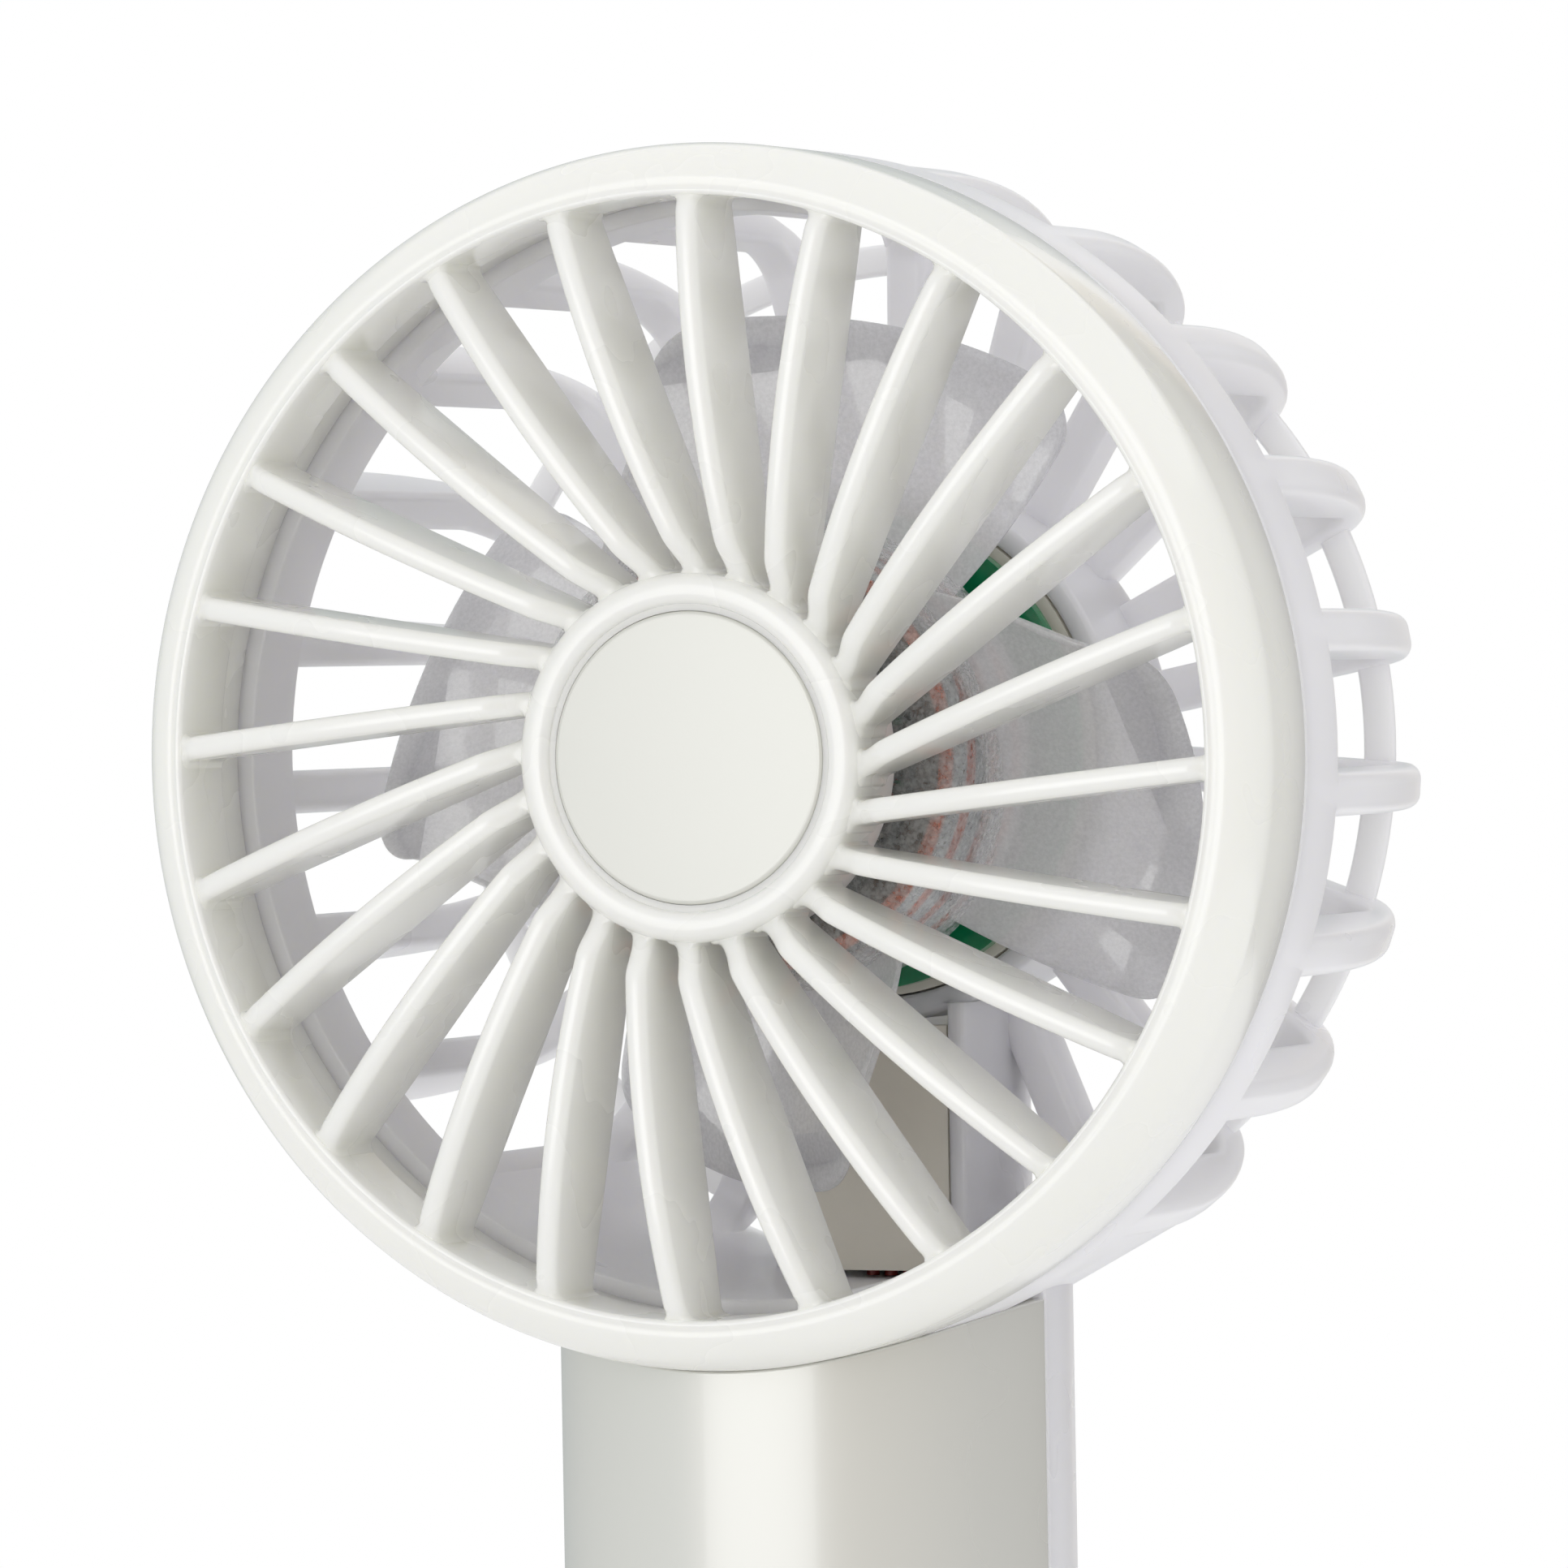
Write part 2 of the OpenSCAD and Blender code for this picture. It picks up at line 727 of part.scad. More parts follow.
// Plate that closes the motor cup, with the bearing tube and three standoffs for the board.
module motor_base() {
    color("#eceadf") {
        lathe() cell(bearing_r, tube_front, tube_r, base_front + eps);
        slab(base_front, base_front + base_t) difference() {
            annulus(base_r, bearing_r);
            wire_slot();
            screw_circle(motor_screw_r + 0.15);
        }
        slab(ring_board_back, base_front + eps) difference() {
            screw_circle(post_r);
            screw_circle(motor_screw_r + 0.15);
        }
    }
}

module screw_circle(r) {
    for (a = motor_screw_angles) rotate(a) translate([motor_screw_pcd_r, 0]) circle(r);
}

module wire_slot() {
    translate([-wire_pitch - 1.2, -wire_drop - 1.4]) square([2 * wire_pitch + 2.4, 2.8]);
}

module motor_board() {
    color("#1f8a5b") slab(ring_board_front, ring_board_back) difference() {
        annulus(ring_board_r, tube_r + 0.4);
        screw_circle(motor_screw_r + 0.15);
    }
}

module motor_screws() {
    color("#a9abae") {
        slab(ring_board_front - motor_screw_head_h, ring_board_front) screw_circle(motor_screw_head_r);
        slab(ring_board_front - eps, ring_board_front + motor_screw_len) screw_circle(motor_screw_r);
    }
}

// Three wires: out of the board, down the column, and forwards to the control board.
module motor_wires() {
    y_motor = ring_board_back - head_offset;
    y_run = wire_depth - head_offset;
    z_top = axis_height - wire_drop;
    z_end = max(button_z + board_boss_z - 4, cradle_top + wire_r + 0.3);
    color("#b33a2e") for (i = [-1 : 1]) {
        x = i * wire_pitch;
        bar_y(x, z_top, wire_r, y_motor, y_run);
        translate([x, y_run, z_top]) sphere(wire_r);
        translate([x, y_run, z_end]) cylinder(r = wire_r, h = z_top - z_end);
        translate([x, y_run, z_end]) sphere(wire_r);
        bar_y(x, z_end, wire_r, control_back, y_run);
    }
}

// ---- battery ----

module battery_cell() {
    color("#3f7fb0") translate([0, cell_y, cell_z]) rotate_extrude() {
        cell(0, 0, cell_r, cell_len - 1.6);
        cell(0, 0, cell_r - 0.8, cell_len - 0.8);
        cell(0, 0, 3.2, cell_len);
    }
}

// Open frame round the cell: an end cup at each end, joined by two side rails.
module battery_cradle() {
    rail_x = cell_r + 0.15;
    w = rail_x + 1.2;
    z0 = cell_z - cradle_t - 0.5;
    color("#f0eee8") difference() {
        intersection() {
            translate([-w, cell_y - rail_reach, z0]) cube([2 * w, bore_r, cradle_top - z0]);
            cylinder(r = bore_r - 0.1, h = axis_height);
        }
        translate([0, cell_y, z0 + cradle_t]) cylinder(r = cell_r + 0.1, h = cradle_top - z0 - 2 * cradle_t);
        translate([-rail_x, cell_y - rail_reach - 1, z0 + cradle_t + cup_len])
            cube([2 * rail_x, bore_r, cradle_top - z0 - 2 * (cradle_t + cup_len)]);
    }
}

module battery_tabs() {
    color("#c3c5c8") for (z = [cell_z - tab_t, cell_z + cell_len])
        translate([-tab_w / 2, cell_y - cell_r + 1, z]) cube([tab_w, cell_r + 2, tab_t]);
}

// ---- controls ----

module control_board() {
    color("#1f8a5b") translate([0, control_back, button_z]) rotate([90, 0, 0]) linear_extrude(board_t)
        difference() {
            translate([-control_w / 2, -control_len / 2]) square([control_w, control_len]);
            for (side = [-1, 1]) translate([0, side * board_boss_z]) circle(board_screw_r + 0.15);
        }
}

module board_screws() {
    color("#a9abae") for (side = [-1, 1]) {
        z = button_z + side * board_boss_z;
        bar_y(0, z, board_screw_r, control_front - screw_reach, control_back + eps);
        bar_y(0, z, board_screw_head_r, control_back, control_back + 0.9);
    }
}

module control_chips() {
    color("#2b2c2e") {
        translate([-2.5, control_back, button_z - 6]) cube([5, 1.4, 4]);
        translate([-6, control_back, button_z + 3]) cube([3, 1.1, 3]);
        translate([2.6, control_back, button_z + 4]) cube([3.4, 1, 1.8]);
    }
}

module tact_switch() {
    top = control_front - switch_h;
    color("#3a3b3d") difference() {
        translate([-switch_w / 2, top, button_z - switch_w / 2]) cube([switch_w, switch_h, switch_w]);
        bar_y(0, button_z, plunger_r + plunger_gap, top - 1, top + 1.8);
    }
}

module switch_plunger() {
    color("#e8e6e0") bar_y(0, button_z, plunger_r, button_back(), control_front - switch_h + 1);
}

function button_back() = pad_back + running_gap + flange_t;

module power_button() {
    color("#eeeeea") {
        bar_y(0, button_z, button_r, button_face, button_back() - flange_t + eps);
        bar_y(0, button_z, flange_r, button_back() - flange_t, button_back());
    }
}

module indicator_leds() {
    color("#fbfbf6") for (i = [0 : led_count - 1])
        translate([(i - (led_count - 1) / 2) * led_pitch, control_front - 0.4, button_z - pipe_drop])
            cube([1.2, 0.8, 1], center = true);
}

// ---- charging ----

module charge_board() {
    front = charge_front - charge_lip;
    color("#1f8a5b") translate([-charge_w / 2, front, usb_z - usb_h / 2 - 0.1 - board_t])
        cube([charge_w, charge_back - front, board_t]);
}

module usb_socket() {
    color("#c3c5c8") translate([0, usb_mouth_y, usb_z]) rotate([90, 0, 0]) difference() {
        linear_extrude(usb_len) usb_outline(0);
        translate([0, 0, -1]) linear_extrude(usb_len - 0.5) usb_outline(-0.35);
    }
    color("#2b2c2e") translate([0, charge_front + usb_len / 2 - 0.35, usb_z])
        cube([tongue_w, usb_len - 1.3, tongue_t], center = true);
}

front_grille();
hub_disc();
rear_shell();
front_handle_shell();
base_cap();
channel_cover();
impeller();
rotor_yoke();
magnet_ring();
motor_shaft();
shaft_clip();
stator_core();
stator_bobbins();
stator_coils();
front_bearing();
rear_bearing();
motor_base();
motor_board();
motor_screws();
motor_wires();
battery_cell();
battery_cradle();
battery_tabs();
control_board();
board_screws();
control_chips();
tact_switch();
switch_plunger();
power_button();
indicator_leds();
light_pipe();
charge_board();
usb_socket();
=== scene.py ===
import math

import bpy
import bmesh
import numpy as np
from mathutils import Matrix, Vector


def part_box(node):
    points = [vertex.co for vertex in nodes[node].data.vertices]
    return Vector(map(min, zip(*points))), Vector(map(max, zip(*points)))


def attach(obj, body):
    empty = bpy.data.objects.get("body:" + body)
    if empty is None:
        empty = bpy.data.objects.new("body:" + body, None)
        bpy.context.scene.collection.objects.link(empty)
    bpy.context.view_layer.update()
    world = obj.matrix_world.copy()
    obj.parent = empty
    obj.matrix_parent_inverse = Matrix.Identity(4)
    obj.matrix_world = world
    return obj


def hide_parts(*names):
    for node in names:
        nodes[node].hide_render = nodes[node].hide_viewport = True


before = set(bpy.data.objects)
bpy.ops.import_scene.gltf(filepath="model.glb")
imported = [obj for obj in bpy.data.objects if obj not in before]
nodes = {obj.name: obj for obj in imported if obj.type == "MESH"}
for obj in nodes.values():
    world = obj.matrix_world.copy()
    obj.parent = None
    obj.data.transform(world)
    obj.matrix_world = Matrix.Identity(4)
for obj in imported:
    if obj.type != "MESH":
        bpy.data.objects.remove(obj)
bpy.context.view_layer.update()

# A handheld fan: a caged round head on a cylindrical handle. Sizes are in millimetres unless a name says
# otherwise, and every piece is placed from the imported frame: x right, z up, and depth runs back (+y) from the
# air opening.

mm = 0.001


def boxOf(node):  # the two corners of a frame node in millimetres
    low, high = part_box(node)
    return np.array(low) / mm, np.array(high) / mm


grilleLow, grilleHigh = boxOf("front_grille")
handleLow, handleHigh = boxOf("front_handle_shell")
capHigh = boxOf("base_cap")[1]
buttonLow, buttonHigh = boxOf("power_button")

head = {
    "grilleDepth": 10.1,  # from the opening plane back to the parting line
    "ringWidth": 3.9,
    "bandLength": 6.8,
    "depth": 46.5,
    "ductRadius": 39.8,
    "rearRound": 7.2,      # the rear edge is a quarter of an ellipse: this much across the axis
    "rearReach": 24.0,     # and this much along it
    "seam": 0.15,
}
head["ringRadius"] = (grilleHigh[0] - grilleLow[0]) / 2
head["openingRadius"] = head["ringRadius"] - head["ringWidth"]
head["openingY"] = grilleHigh[1] - head["grilleDepth"]
head["axisZ"] = (grilleHigh[2] + grilleLow[2]) / 2
head["bandBack"] = head["grilleDepth"] + head["bandLength"]

camera = {
    "lens": 205.57,
    "azimuth": 24.221,  # degrees to the fan's right of its axis
    "elevation": 0.749,
    "roll": -1.012,
    "distance": 645.05,  # to the middle of the air opening
    "sideways": 7.638,
    "upwards": -1.851,
}


def placeCamera(spec):
    # looks along f = (-sin a cos e, cos a cos e, -sin e), turned by the roll about f
    a, e, roll = (math.radians(spec[k]) for k in ("azimuth", "elevation", "roll"))
    forward = Vector((-math.sin(a) * math.cos(e), math.cos(a) * math.cos(e), -math.sin(e)))
    level = forward.cross(Vector((0, 0, 1))).normalized()
    rise = level.cross(forward)
    right = level * math.cos(roll) + rise * math.sin(roll)
    up = rise * math.cos(roll) - level * math.sin(roll)
    target = Vector((0, head["openingY"], head["axisZ"]))
    place = target - forward * spec["distance"] + right * spec["sideways"] + up * spec["upwards"]
    data = bpy.data.cameras.new("camera")
    data.lens = spec["lens"]
    data.clip_start, data.clip_end = 0.01, 20  # metres
    eye = bpy.data.objects.new("camera", data)
    turn = Matrix((right, up, -forward)).transposed().to_4x4()
    eye.matrix_world = Matrix.Translation(place * mm) @ turn
    bpy.context.scene.collection.objects.link(eye)
    bpy.context.scene.camera = eye


placeCamera(camera)
print("camera placed")


def gridFaces(rows, columns, wrapRows=False, wrapColumns=False):
    # quad (i, j), (i+1, j), (i+1, j+1), (i, j+1); the indices wrap round where a direction is closed
    i = np.arange(rows if wrapRows else rows - 1)[:, None]
    j = np.arange(columns if wrapColumns else columns - 1)[None, :]
    i2, j2 = (i + 1) % rows, (j + 1) % columns
    corners = (i * columns + j, i2 * columns + j, i2 * columns + j2, i * columns + j2)
    return np.stack(np.broadcast_arrays(*corners), -1).reshape(-1, 4)


def sheet(grid, wrapRows=False, wrapColumns=False):
    # a grid of points (rows, columns, 3) as flat points and quads
    return grid.reshape(-1, 3), gridFaces(grid.shape[0], grid.shape[1], wrapRows, wrapColumns)


def thicken(outer, inner, faces):
    # closed wall between two copies of one surface: an edge (a, b) is on the border if no face has (b, a),
    # and each border edge gets a quad from the outer copy to the inner one
    count = len(outer)
    edges = np.stack([faces, np.roll(faces, -1, 1)], -1).reshape(-1, 2)
    forward = edges[:, 0] * count + edges[:, 1]
    border = edges[~np.isin(forward, edges[:, 1] * count + edges[:, 0])]
    rim = np.stack([border[:, 1], border[:, 0], border[:, 0] + count, border[:, 1] + count], 1)
    return np.concatenate([outer, inner]), np.concatenate([faces, faces[:, ::-1] + count, rim])


def closedMesh(name, sheets):
    # joins closed sheets (points, quads) into one mesh and merges the points that meet; faces are turned
    # outwards: the signed volume, the sum of a . (b x c) / 6 over the triangles, has to be positive
    points, faces, start = [], [], 0
    for flat, quads in sheets:
        a, b, c, d = (flat[quads[:, k]] for k in range(4))
        volume = np.einsum("ij,ij->", a, np.cross(b, c)) + np.einsum("ij,ij->", a, np.cross(c, d))
        points.append(flat)
        faces.append((quads[:, ::-1] if volume < 0 else quads) + start)
        start += len(flat)
    mesh = bpy.data.meshes.new(name)
    mesh.from_pydata(np.concatenate(points) * mm, [], np.concatenate(faces).tolist())
    work = bmesh.new()
    work.from_mesh(mesh)
    bmesh.ops.remove_doubles(work, verts=work.verts, dist=0.002 * mm)
    bmesh.ops.dissolve_degenerate(work, edges=work.edges, dist=0.0005 * mm)
    work.to_mesh(mesh)
    work.free()
    return mesh


def fuse(first, others):
    # Boolean union of meshes that run into each other, as one moulding has no walls inside it
    base = bpy.data.objects.new("moulding", first)
    bpy.context.scene.collection.objects.link(base)
    helpers = []
    for mesh in others:
        helper = bpy.data.objects.new("helper", mesh)
        bpy.context.scene.collection.objects.link(helper)
        join = base.modifiers.new("union", "BOOLEAN")
        join.operation, join.solver, join.object = "UNION", "MANIFOLD", helper
        helpers.append(helper)
    whole = bpy.data.meshes.new_from_object(base.evaluated_get(bpy.context.evaluated_depsgraph_get()))
    for item in [base, *helpers]:
        bpy.data.objects.remove(item)
    return whole


def buildPiece(name, groups, material, body, replaced=(), sharp=38):
    # each group of closed sheets is one solid or several that stay clear of each other; the groups are fused
    meshes = [closedMesh(name, sheets) for sheets in groups]
    mesh = fuse(meshes[0], meshes[1:]) if len(meshes) > 1 else meshes[0]
    mesh.name = name
    mesh.polygons.foreach_set("use_smooth", np.ones(len(mesh.polygons), bool))
    mesh.set_sharp_from_angle(angle=math.radians(sharp))
    mesh.materials.clear()
    mesh.materials.append(material)
    piece = bpy.data.objects.new(name, mesh)
    bpy.context.scene.collection.objects.link(piece)
    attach(piece, body)
    if replaced:
        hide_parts(*replaced)


def roundPath(corners, steps=6):
    # outline through (x, y, radius) corners: each corner is an arc tangent to both of its sides, and a radius
    # of 0 keeps the corner; tangent length = radius / tan(half the corner's angle)
    corners = np.array(corners, float)
    path = []
    for k, (x, y, radius) in enumerate(corners):
        here = np.array([x, y])
        back = corners[k - 1, :2] - here
        ahead = corners[(k + 1) % len(corners), :2] - here
        back, ahead = back / np.linalg.norm(back), ahead / np.linalg.norm(ahead)
        half = math.acos(np.clip(back @ ahead, -1, 1)) / 2
        if radius == 0 or half > math.radians(89):
            path.append(here[None])
            continue
        middle = back + ahead
        centre = here + middle / np.linalg.norm(middle) * radius / math.sin(half)
        first = here + back * radius / math.tan(half) - centre
        last = here + ahead * radius / math.tan(half) - centre
        turn = math.atan2(first[0] * last[1] - first[1] * last[0], first @ last)
        angles = np.linspace(0, turn, steps + 1)[:, None]
        side = np.array([-first[1], first[0]])
        path.append(centre + np.cos(angles) * first + np.sin(angles) * side)
    return np.concatenate(path)


def aboutFan(radius, angle, depth):
    # (radius, angle, depth) about the fan's axis: x = r cos a, z = axis + r sin a, y = opening + depth
    x = radius * np.cos(angle)
    z = head["axisZ"] + radius * np.sin(angle)
    y = head["openingY"] + depth
    return np.stack(np.broadcast_arrays(x, y, z), -1)


def aboutHandle(radius, angle, height):
    # (radius, angle, height) about the handle's axis; angle 0 faces the front: x = r sin a, y = -r cos a
    return np.stack(np.broadcast_arrays(radius * np.sin(angle), -radius * np.cos(angle), height), -1)


def revolve(profile, turn, steps=192):
    # each profile point (radius, along) is carried round the axis by turn(radius, angle, along)
    angles = np.arange(steps)[:, None] * 2 * math.pi / steps
    return turn(profile[None, :, 0], angles, profile[None, :, 1])


def capEnds(grid):
    # closes both ends of a sweep: the first and last rows are repeated, drawn together to their middles
    first = np.repeat(grid[:1].mean(1, keepdims=True), grid.shape[1], 1)
    last = np.repeat(grid[-1:].mean(1, keepdims=True), grid.shape[1], 1)
    return np.concatenate([first, grid, last])


def barSection(front, back, side, plusWidth, minusWidth, frontRound, backRound, steps=6):
    # a bar between two edge lines, with a rounded rectangle for its section. At each corner t runs from 0 to
    # a right angle: along = f (1 - cos t) from the front line, and across = w - f (1 - sin t) to the sides
    depth = np.linalg.norm(back - front, axis=-1, keepdims=True)
    axis = (back - front) / depth
    t = np.linspace(0, math.pi / 2, steps + 1)
    cos, sin = 1 - np.cos(t), 1 - np.sin(t)
    p, m = plusWidth[:, None], minusWidth[:, None]
    f, b = frontRound, backRound
    along = [f * cos + 0 * depth, depth - b * sin, depth - b * cos, f * sin + 0 * depth]
    across = [p - f * sin, p - b * cos, b * sin - m, f * cos - m]
    along, across = np.concatenate(along, 1)[..., None], np.concatenate(across, 1)[..., None]
    return front[:, None] + along * axis[:, None] + across * side


def quarterDrop(distance, radius):
    # how far a rounded edge lies below its face: r - sqrt(r^2 - (r - distance)^2) within r of the edge
    inset = np.clip(radius - distance, 0, radius)
    return radius - np.sqrt(radius ** 2 - inset ** 2)


def linear(code):
    # sRGB hex to linear: c / 12.92 up to 0.04045, otherwise ((c + 0.055) / 1.055) ^ 2.4
    parts = [int(code[k:k + 2], 16) / 255 for k in (0, 2, 4)]
    return tuple(c / 12.92 if c <= 0.04045 else ((c + 0.055) / 1.055) ** 2.4 for c in parts) + (1.0,)


def addNode(tree, kind, settings={}, links={}):
    # adds one node: settings go to its sockets or properties, and links maps a socket to what feeds it
    node = tree.nodes.new(kind)
    for key, value in settings.items():
        if isinstance(key, int) or key in node.inputs:
            node.inputs[key].default_value = value
        else:
            setattr(node, key, value)
    for key, source in links.items():
        tree.links.new(source, node.inputs[key])
    return node


def newMaterial(name):
    # an empty node material and its tree
    material = bpy.data.materials.new(name)
    material.use_nodes = True
    tree = material.node_tree
    tree.nodes.clear()
    return material, tree


def plastic(name, look):
    # moulded plastic: a slow drift of tone as from flow in the mould, fine grain and a gentle waviness in the
    # relief, and rare dark specks; drift, grain, wave and speck are sizes in millimetres
    material, tree = newMaterial(name)
    place = addNode(tree, "ShaderNodeTexCoord").outputs["Object"]
    drift = addNode(tree, "ShaderNodeTexNoise", {"Scale": 1 / (look["drift"] * mm), "Detail": 2.0},
                    {"Vector": place})
    tone = addNode(tree, "ShaderNodeMix", {"data_type": "RGBA", 6: linear(look["shade"]),
                                           7: linear(look["colour"])},
                   {0: drift.outputs["Fac"]}).outputs[2]
    if look.get("speck"):
        cells = addNode(tree, "ShaderNodeTexVoronoi", {"Scale": 1 / (look["speckSpacing"] * mm)},
                        {"Vector": place})
        dot = addNode(tree, "ShaderNodeMapRange", {1: 0.0, 2: look["speck"] / look["speckSpacing"], 3: 0.6,
                                                   4: 0.0},
                      {0: cells.outputs["Distance"]})
        tone = addNode(tree, "ShaderNodeMix", {"data_type": "RGBA", 7: linear("8C867C")},
                       {0: dot.outputs[0], 6: tone}).outputs[2]
    grain = addNode(tree, "ShaderNodeTexNoise", {"Scale": 1 / (look["grain"] * mm), "Detail": 3.0},
                    {"Vector": place})
    wave = addNode(tree, "ShaderNodeTexNoise", {"Scale": 1 / (look["wave"] * mm), "Detail": 1.0},
                   {"Vector": place})
    slow = addNode(tree, "ShaderNodeBump", {"Strength": 1.0, "Distance": look["waveHeight"] * mm},
                   {"Height": wave.outputs["Fac"]})
    fine = addNode(tree, "ShaderNodeBump", {"Strength": 1.0, "Distance": look["grainHeight"] * mm},
                   {"Height": grain.outputs["Fac"], "Normal": slow.outputs[0]})
    gloss = addNode(tree, "ShaderNodeMapRange", {1: 0.3, 2: 0.7, 3: look["roughness"] - 0.03,
                                                 4: look["roughness"] + 0.03},
                    {0: drift.outputs["Fac"]})
    shader = addNode(tree, "ShaderNodeBsdfPrincipled", {
        "IOR": look.get("ior", 1.5), "Subsurface Weight": look.get("glow", 0.0),
        "Subsurface Radius": (1.0, 1.0, 0.9), "Subsurface Scale": look.get("glowDepth", 2.0) * mm,
        "Coat Weight": look.get("coat", 0.0), "Coat Roughness": look.get("coatRoughness", 0.05),
        "Metallic": look.get("metallic", 0.0),
    }, {"Base Color": tone, "Roughness": gloss.outputs[0], "Normal": fine.outputs[0]})
    addNode(tree, "ShaderNodeOutputMaterial", {}, {"Surface": shader.outputs[0]})
    return material


def metal(name, look):
    # metal: fine wear in the roughness and a tone drift; brush divides the grain's size by axis, and band
    # is the spacing in millimetres of coloured rings across y. A wave texture repeats every tau / (20 scale)
    material, tree = newMaterial(name)
    place = addNode(tree, "ShaderNodeTexCoord").outputs["Object"]
    lay = addNode(tree, "ShaderNodeMapping", {"Scale": look.get("brush", (1.0, 1.0, 1.0))}, {"Vector": place})
    grain = addNode(tree, "ShaderNodeTexNoise", {"Scale": 1 / (look["grain"] * mm), "Detail": 4.0},
                    {"Vector": lay.outputs[0]})
    tone = addNode(tree, "ShaderNodeMix", {"data_type": "RGBA", 6: linear(look["shade"]),
                                           7: linear(look["colour"])},
                   {0: grain.outputs["Fac"]}).outputs[2]
    if look.get("band"):
        rings = addNode(tree, "ShaderNodeTexWave", {"bands_direction": "Y",
                                                    "Scale": math.tau / 20 / (look["band"] * mm),
                                                    "Distortion": 0.6}, {"Vector": place})
        share = addNode(tree, "ShaderNodeMapRange", {1: 0.6, 2: 0.75, 3: 0.0, 4: 0.9},
                        {0: rings.outputs["Fac"]})
        tone = addNode(tree, "ShaderNodeMix", {"data_type": "RGBA", 7: linear(look["bandColour"])},
                       {0: share.outputs[0], 6: tone}).outputs[2]
    wear = addNode(tree, "ShaderNodeMapRange", {1: 0.3, 2: 0.7, 3: look["roughness"] * 0.7,
                                                4: look["roughness"] * 1.3},
                   {0: grain.outputs["Fac"]})
    relief = addNode(tree, "ShaderNodeBump", {"Strength": 1.0, "Distance": look.get("relief", 0.01) * mm},
                     {"Height": grain.outputs["Fac"]})
    shader = addNode(tree, "ShaderNodeBsdfPrincipled", {"Metallic": 1.0},
                     {"Base Color": tone, "Roughness": wear.outputs[0], "Normal": relief.outputs[0]})
    addNode(tree, "ShaderNodeOutputMaterial", {}, {"Surface": shader.outputs[0]})
    return material


# off-white ABS, injection moulded: a slightly warm white, satin under a thin gloss, with rare specks
grilleAbs = plastic("abs_moulded_off_white", {
    "colour": "FAF9F2", "shade": "F6F6F0", "drift": 9.0, "grain": 0.35, "grainHeight": 0.002, "wave": 7.0,
    "waveHeight": 0.003, "roughness": 0.28, "glow": 0.7, "glowDepth": 2.5,
    "coat": 0.6, "coatRoughness": 0.12, "speck": 0.12, "speckSpacing": 9.0,
})

# translucent PP with a cool cast: the thin ribs let light through and look faintly lilac
shellPp = plastic("pp_moulded_cool_white", {
    "colour": "F3F2F5", "shade": "EFEEF2", "drift": 12.0, "grain": 0.4, "grainHeight": 0.002, "wave": 8.0,
    "waveHeight": 0.003, "roughness": 0.3, "glow": 0.8, "glowDepth": 4.0,
})

# gloss-lacquered ABS: a thin glossy coat over a softer, pearly grey-white
handleLacquer = plastic("abs_gloss_lacquered_pearl", {
    "colour": "DEDDD7", "shade": "DADAD5", "drift": 30.0, "grain": 1.2, "grainHeight": 0.0005, "wave": 20.0,
    "waveHeight": 0.002, "roughness": 0.28, "metallic": 0.18, "coat": 0.5, "coatRoughness": 0.06,
})

# pearl-coated trim disc: satin with a metallic lift and the faintest glitter
discPearl = plastic("abs_pearl_satin_painted", {
    "colour": "DFDFD9", "shade": "DADAD4", "drift": 16.0, "grain": 0.25, "grainHeight": 0.004, "wave": 20.0,
    "waveHeight": 0.004, "roughness": 0.3, "metallic": 0.14,
})

# natural nylon, moulded: cream, waxy and a little see-through
nylonCream = plastic("nylon_moulded_cream", {
    "colour": "F3EEE1", "shade": "EAE4D4", "drift": 8.0, "grain": 0.4, "grainHeight": 0.004, "wave": 5.0,
    "waveHeight": 0.02, "roughness": 0.38, "glow": 0.3, "glowDepth": 1.5,
})

# solder-masked glass epoxy: saturated green with a wet gloss, faintly uneven
boardEpoxy = plastic("glass_epoxy_green_mask", {
    "colour": "0E8A57", "shade": "0A7448", "drift": 1.2, "grain": 0.5, "grainHeight": 0.008, "wave": 4.0,
    "waveHeight": 0.01, "roughness": 0.2, "coat": 0.4,
})

# PVC wire insulation, extruded: plain red with a soft sheen
wirePvc = plastic("pvc_extruded_red", {
    "colour": "B83A33", "shade": "A8302B", "drift": 3.0, "grain": 0.3, "grainHeight": 0.003, "wave": 3.0,
    "waveHeight": 0.02, "roughness": 0.35,
})

# heat-shrunk PET sleeve on the cell: smooth blue film with slight wrinkles
sleevePet = plastic("pet_shrink_sleeve_blue", {
    "colour": "3E6FA8", "shade": "36649B", "drift": 10.0, "grain": 0.8, "grainHeight": 0.004, "wave": 6.0,
    "waveHeight": 0.08, "roughness": 0.25,
})

# epoxy moulding compound of chips and switches: matt charcoal with a fine blast texture
chipEpoxy = plastic("epoxy_moulded_charcoal", {
    "colour": "2B2B2D", "shade": "232325", "drift": 2.0, "grain": 0.15, "grainHeight": 0.006, "wave": 3.0,
    "waveHeight": 0.005, "roughness": 0.5,
})

# clear-milky PC of the light window and the lamps
lampPc = plastic("pc_milky_diffuser", {
    "colour": "F4F4EF", "shade": "ECECE6", "drift": 4.0, "grain": 0.3, "grainHeight": 0.002, "wave": 3.0,
    "waveHeight": 0.01, "roughness": 0.18, "glow": 0.6, "glowDepth": 1.5, "ior": 1.58,
})

# nickel-plated steel: cool and bright, with a soft sheen
steelPlated = metal("steel_nickel_plated", {
    "colour": "E2E4E6", "shade": "C8CBCE", "grain": 0.6, "roughness": 0.3, "relief": 0.01,
})

# laminated electrical steel: stamped sheets, brushed-looking across the stack
steelLaminated = metal("electrical_steel_laminated", {
    "colour": "8F9194", "shade": "66686B", "grain": 0.5, "roughness": 0.38, "brush": (1.0, 6.0, 1.0),
    "relief": 0.03,
})

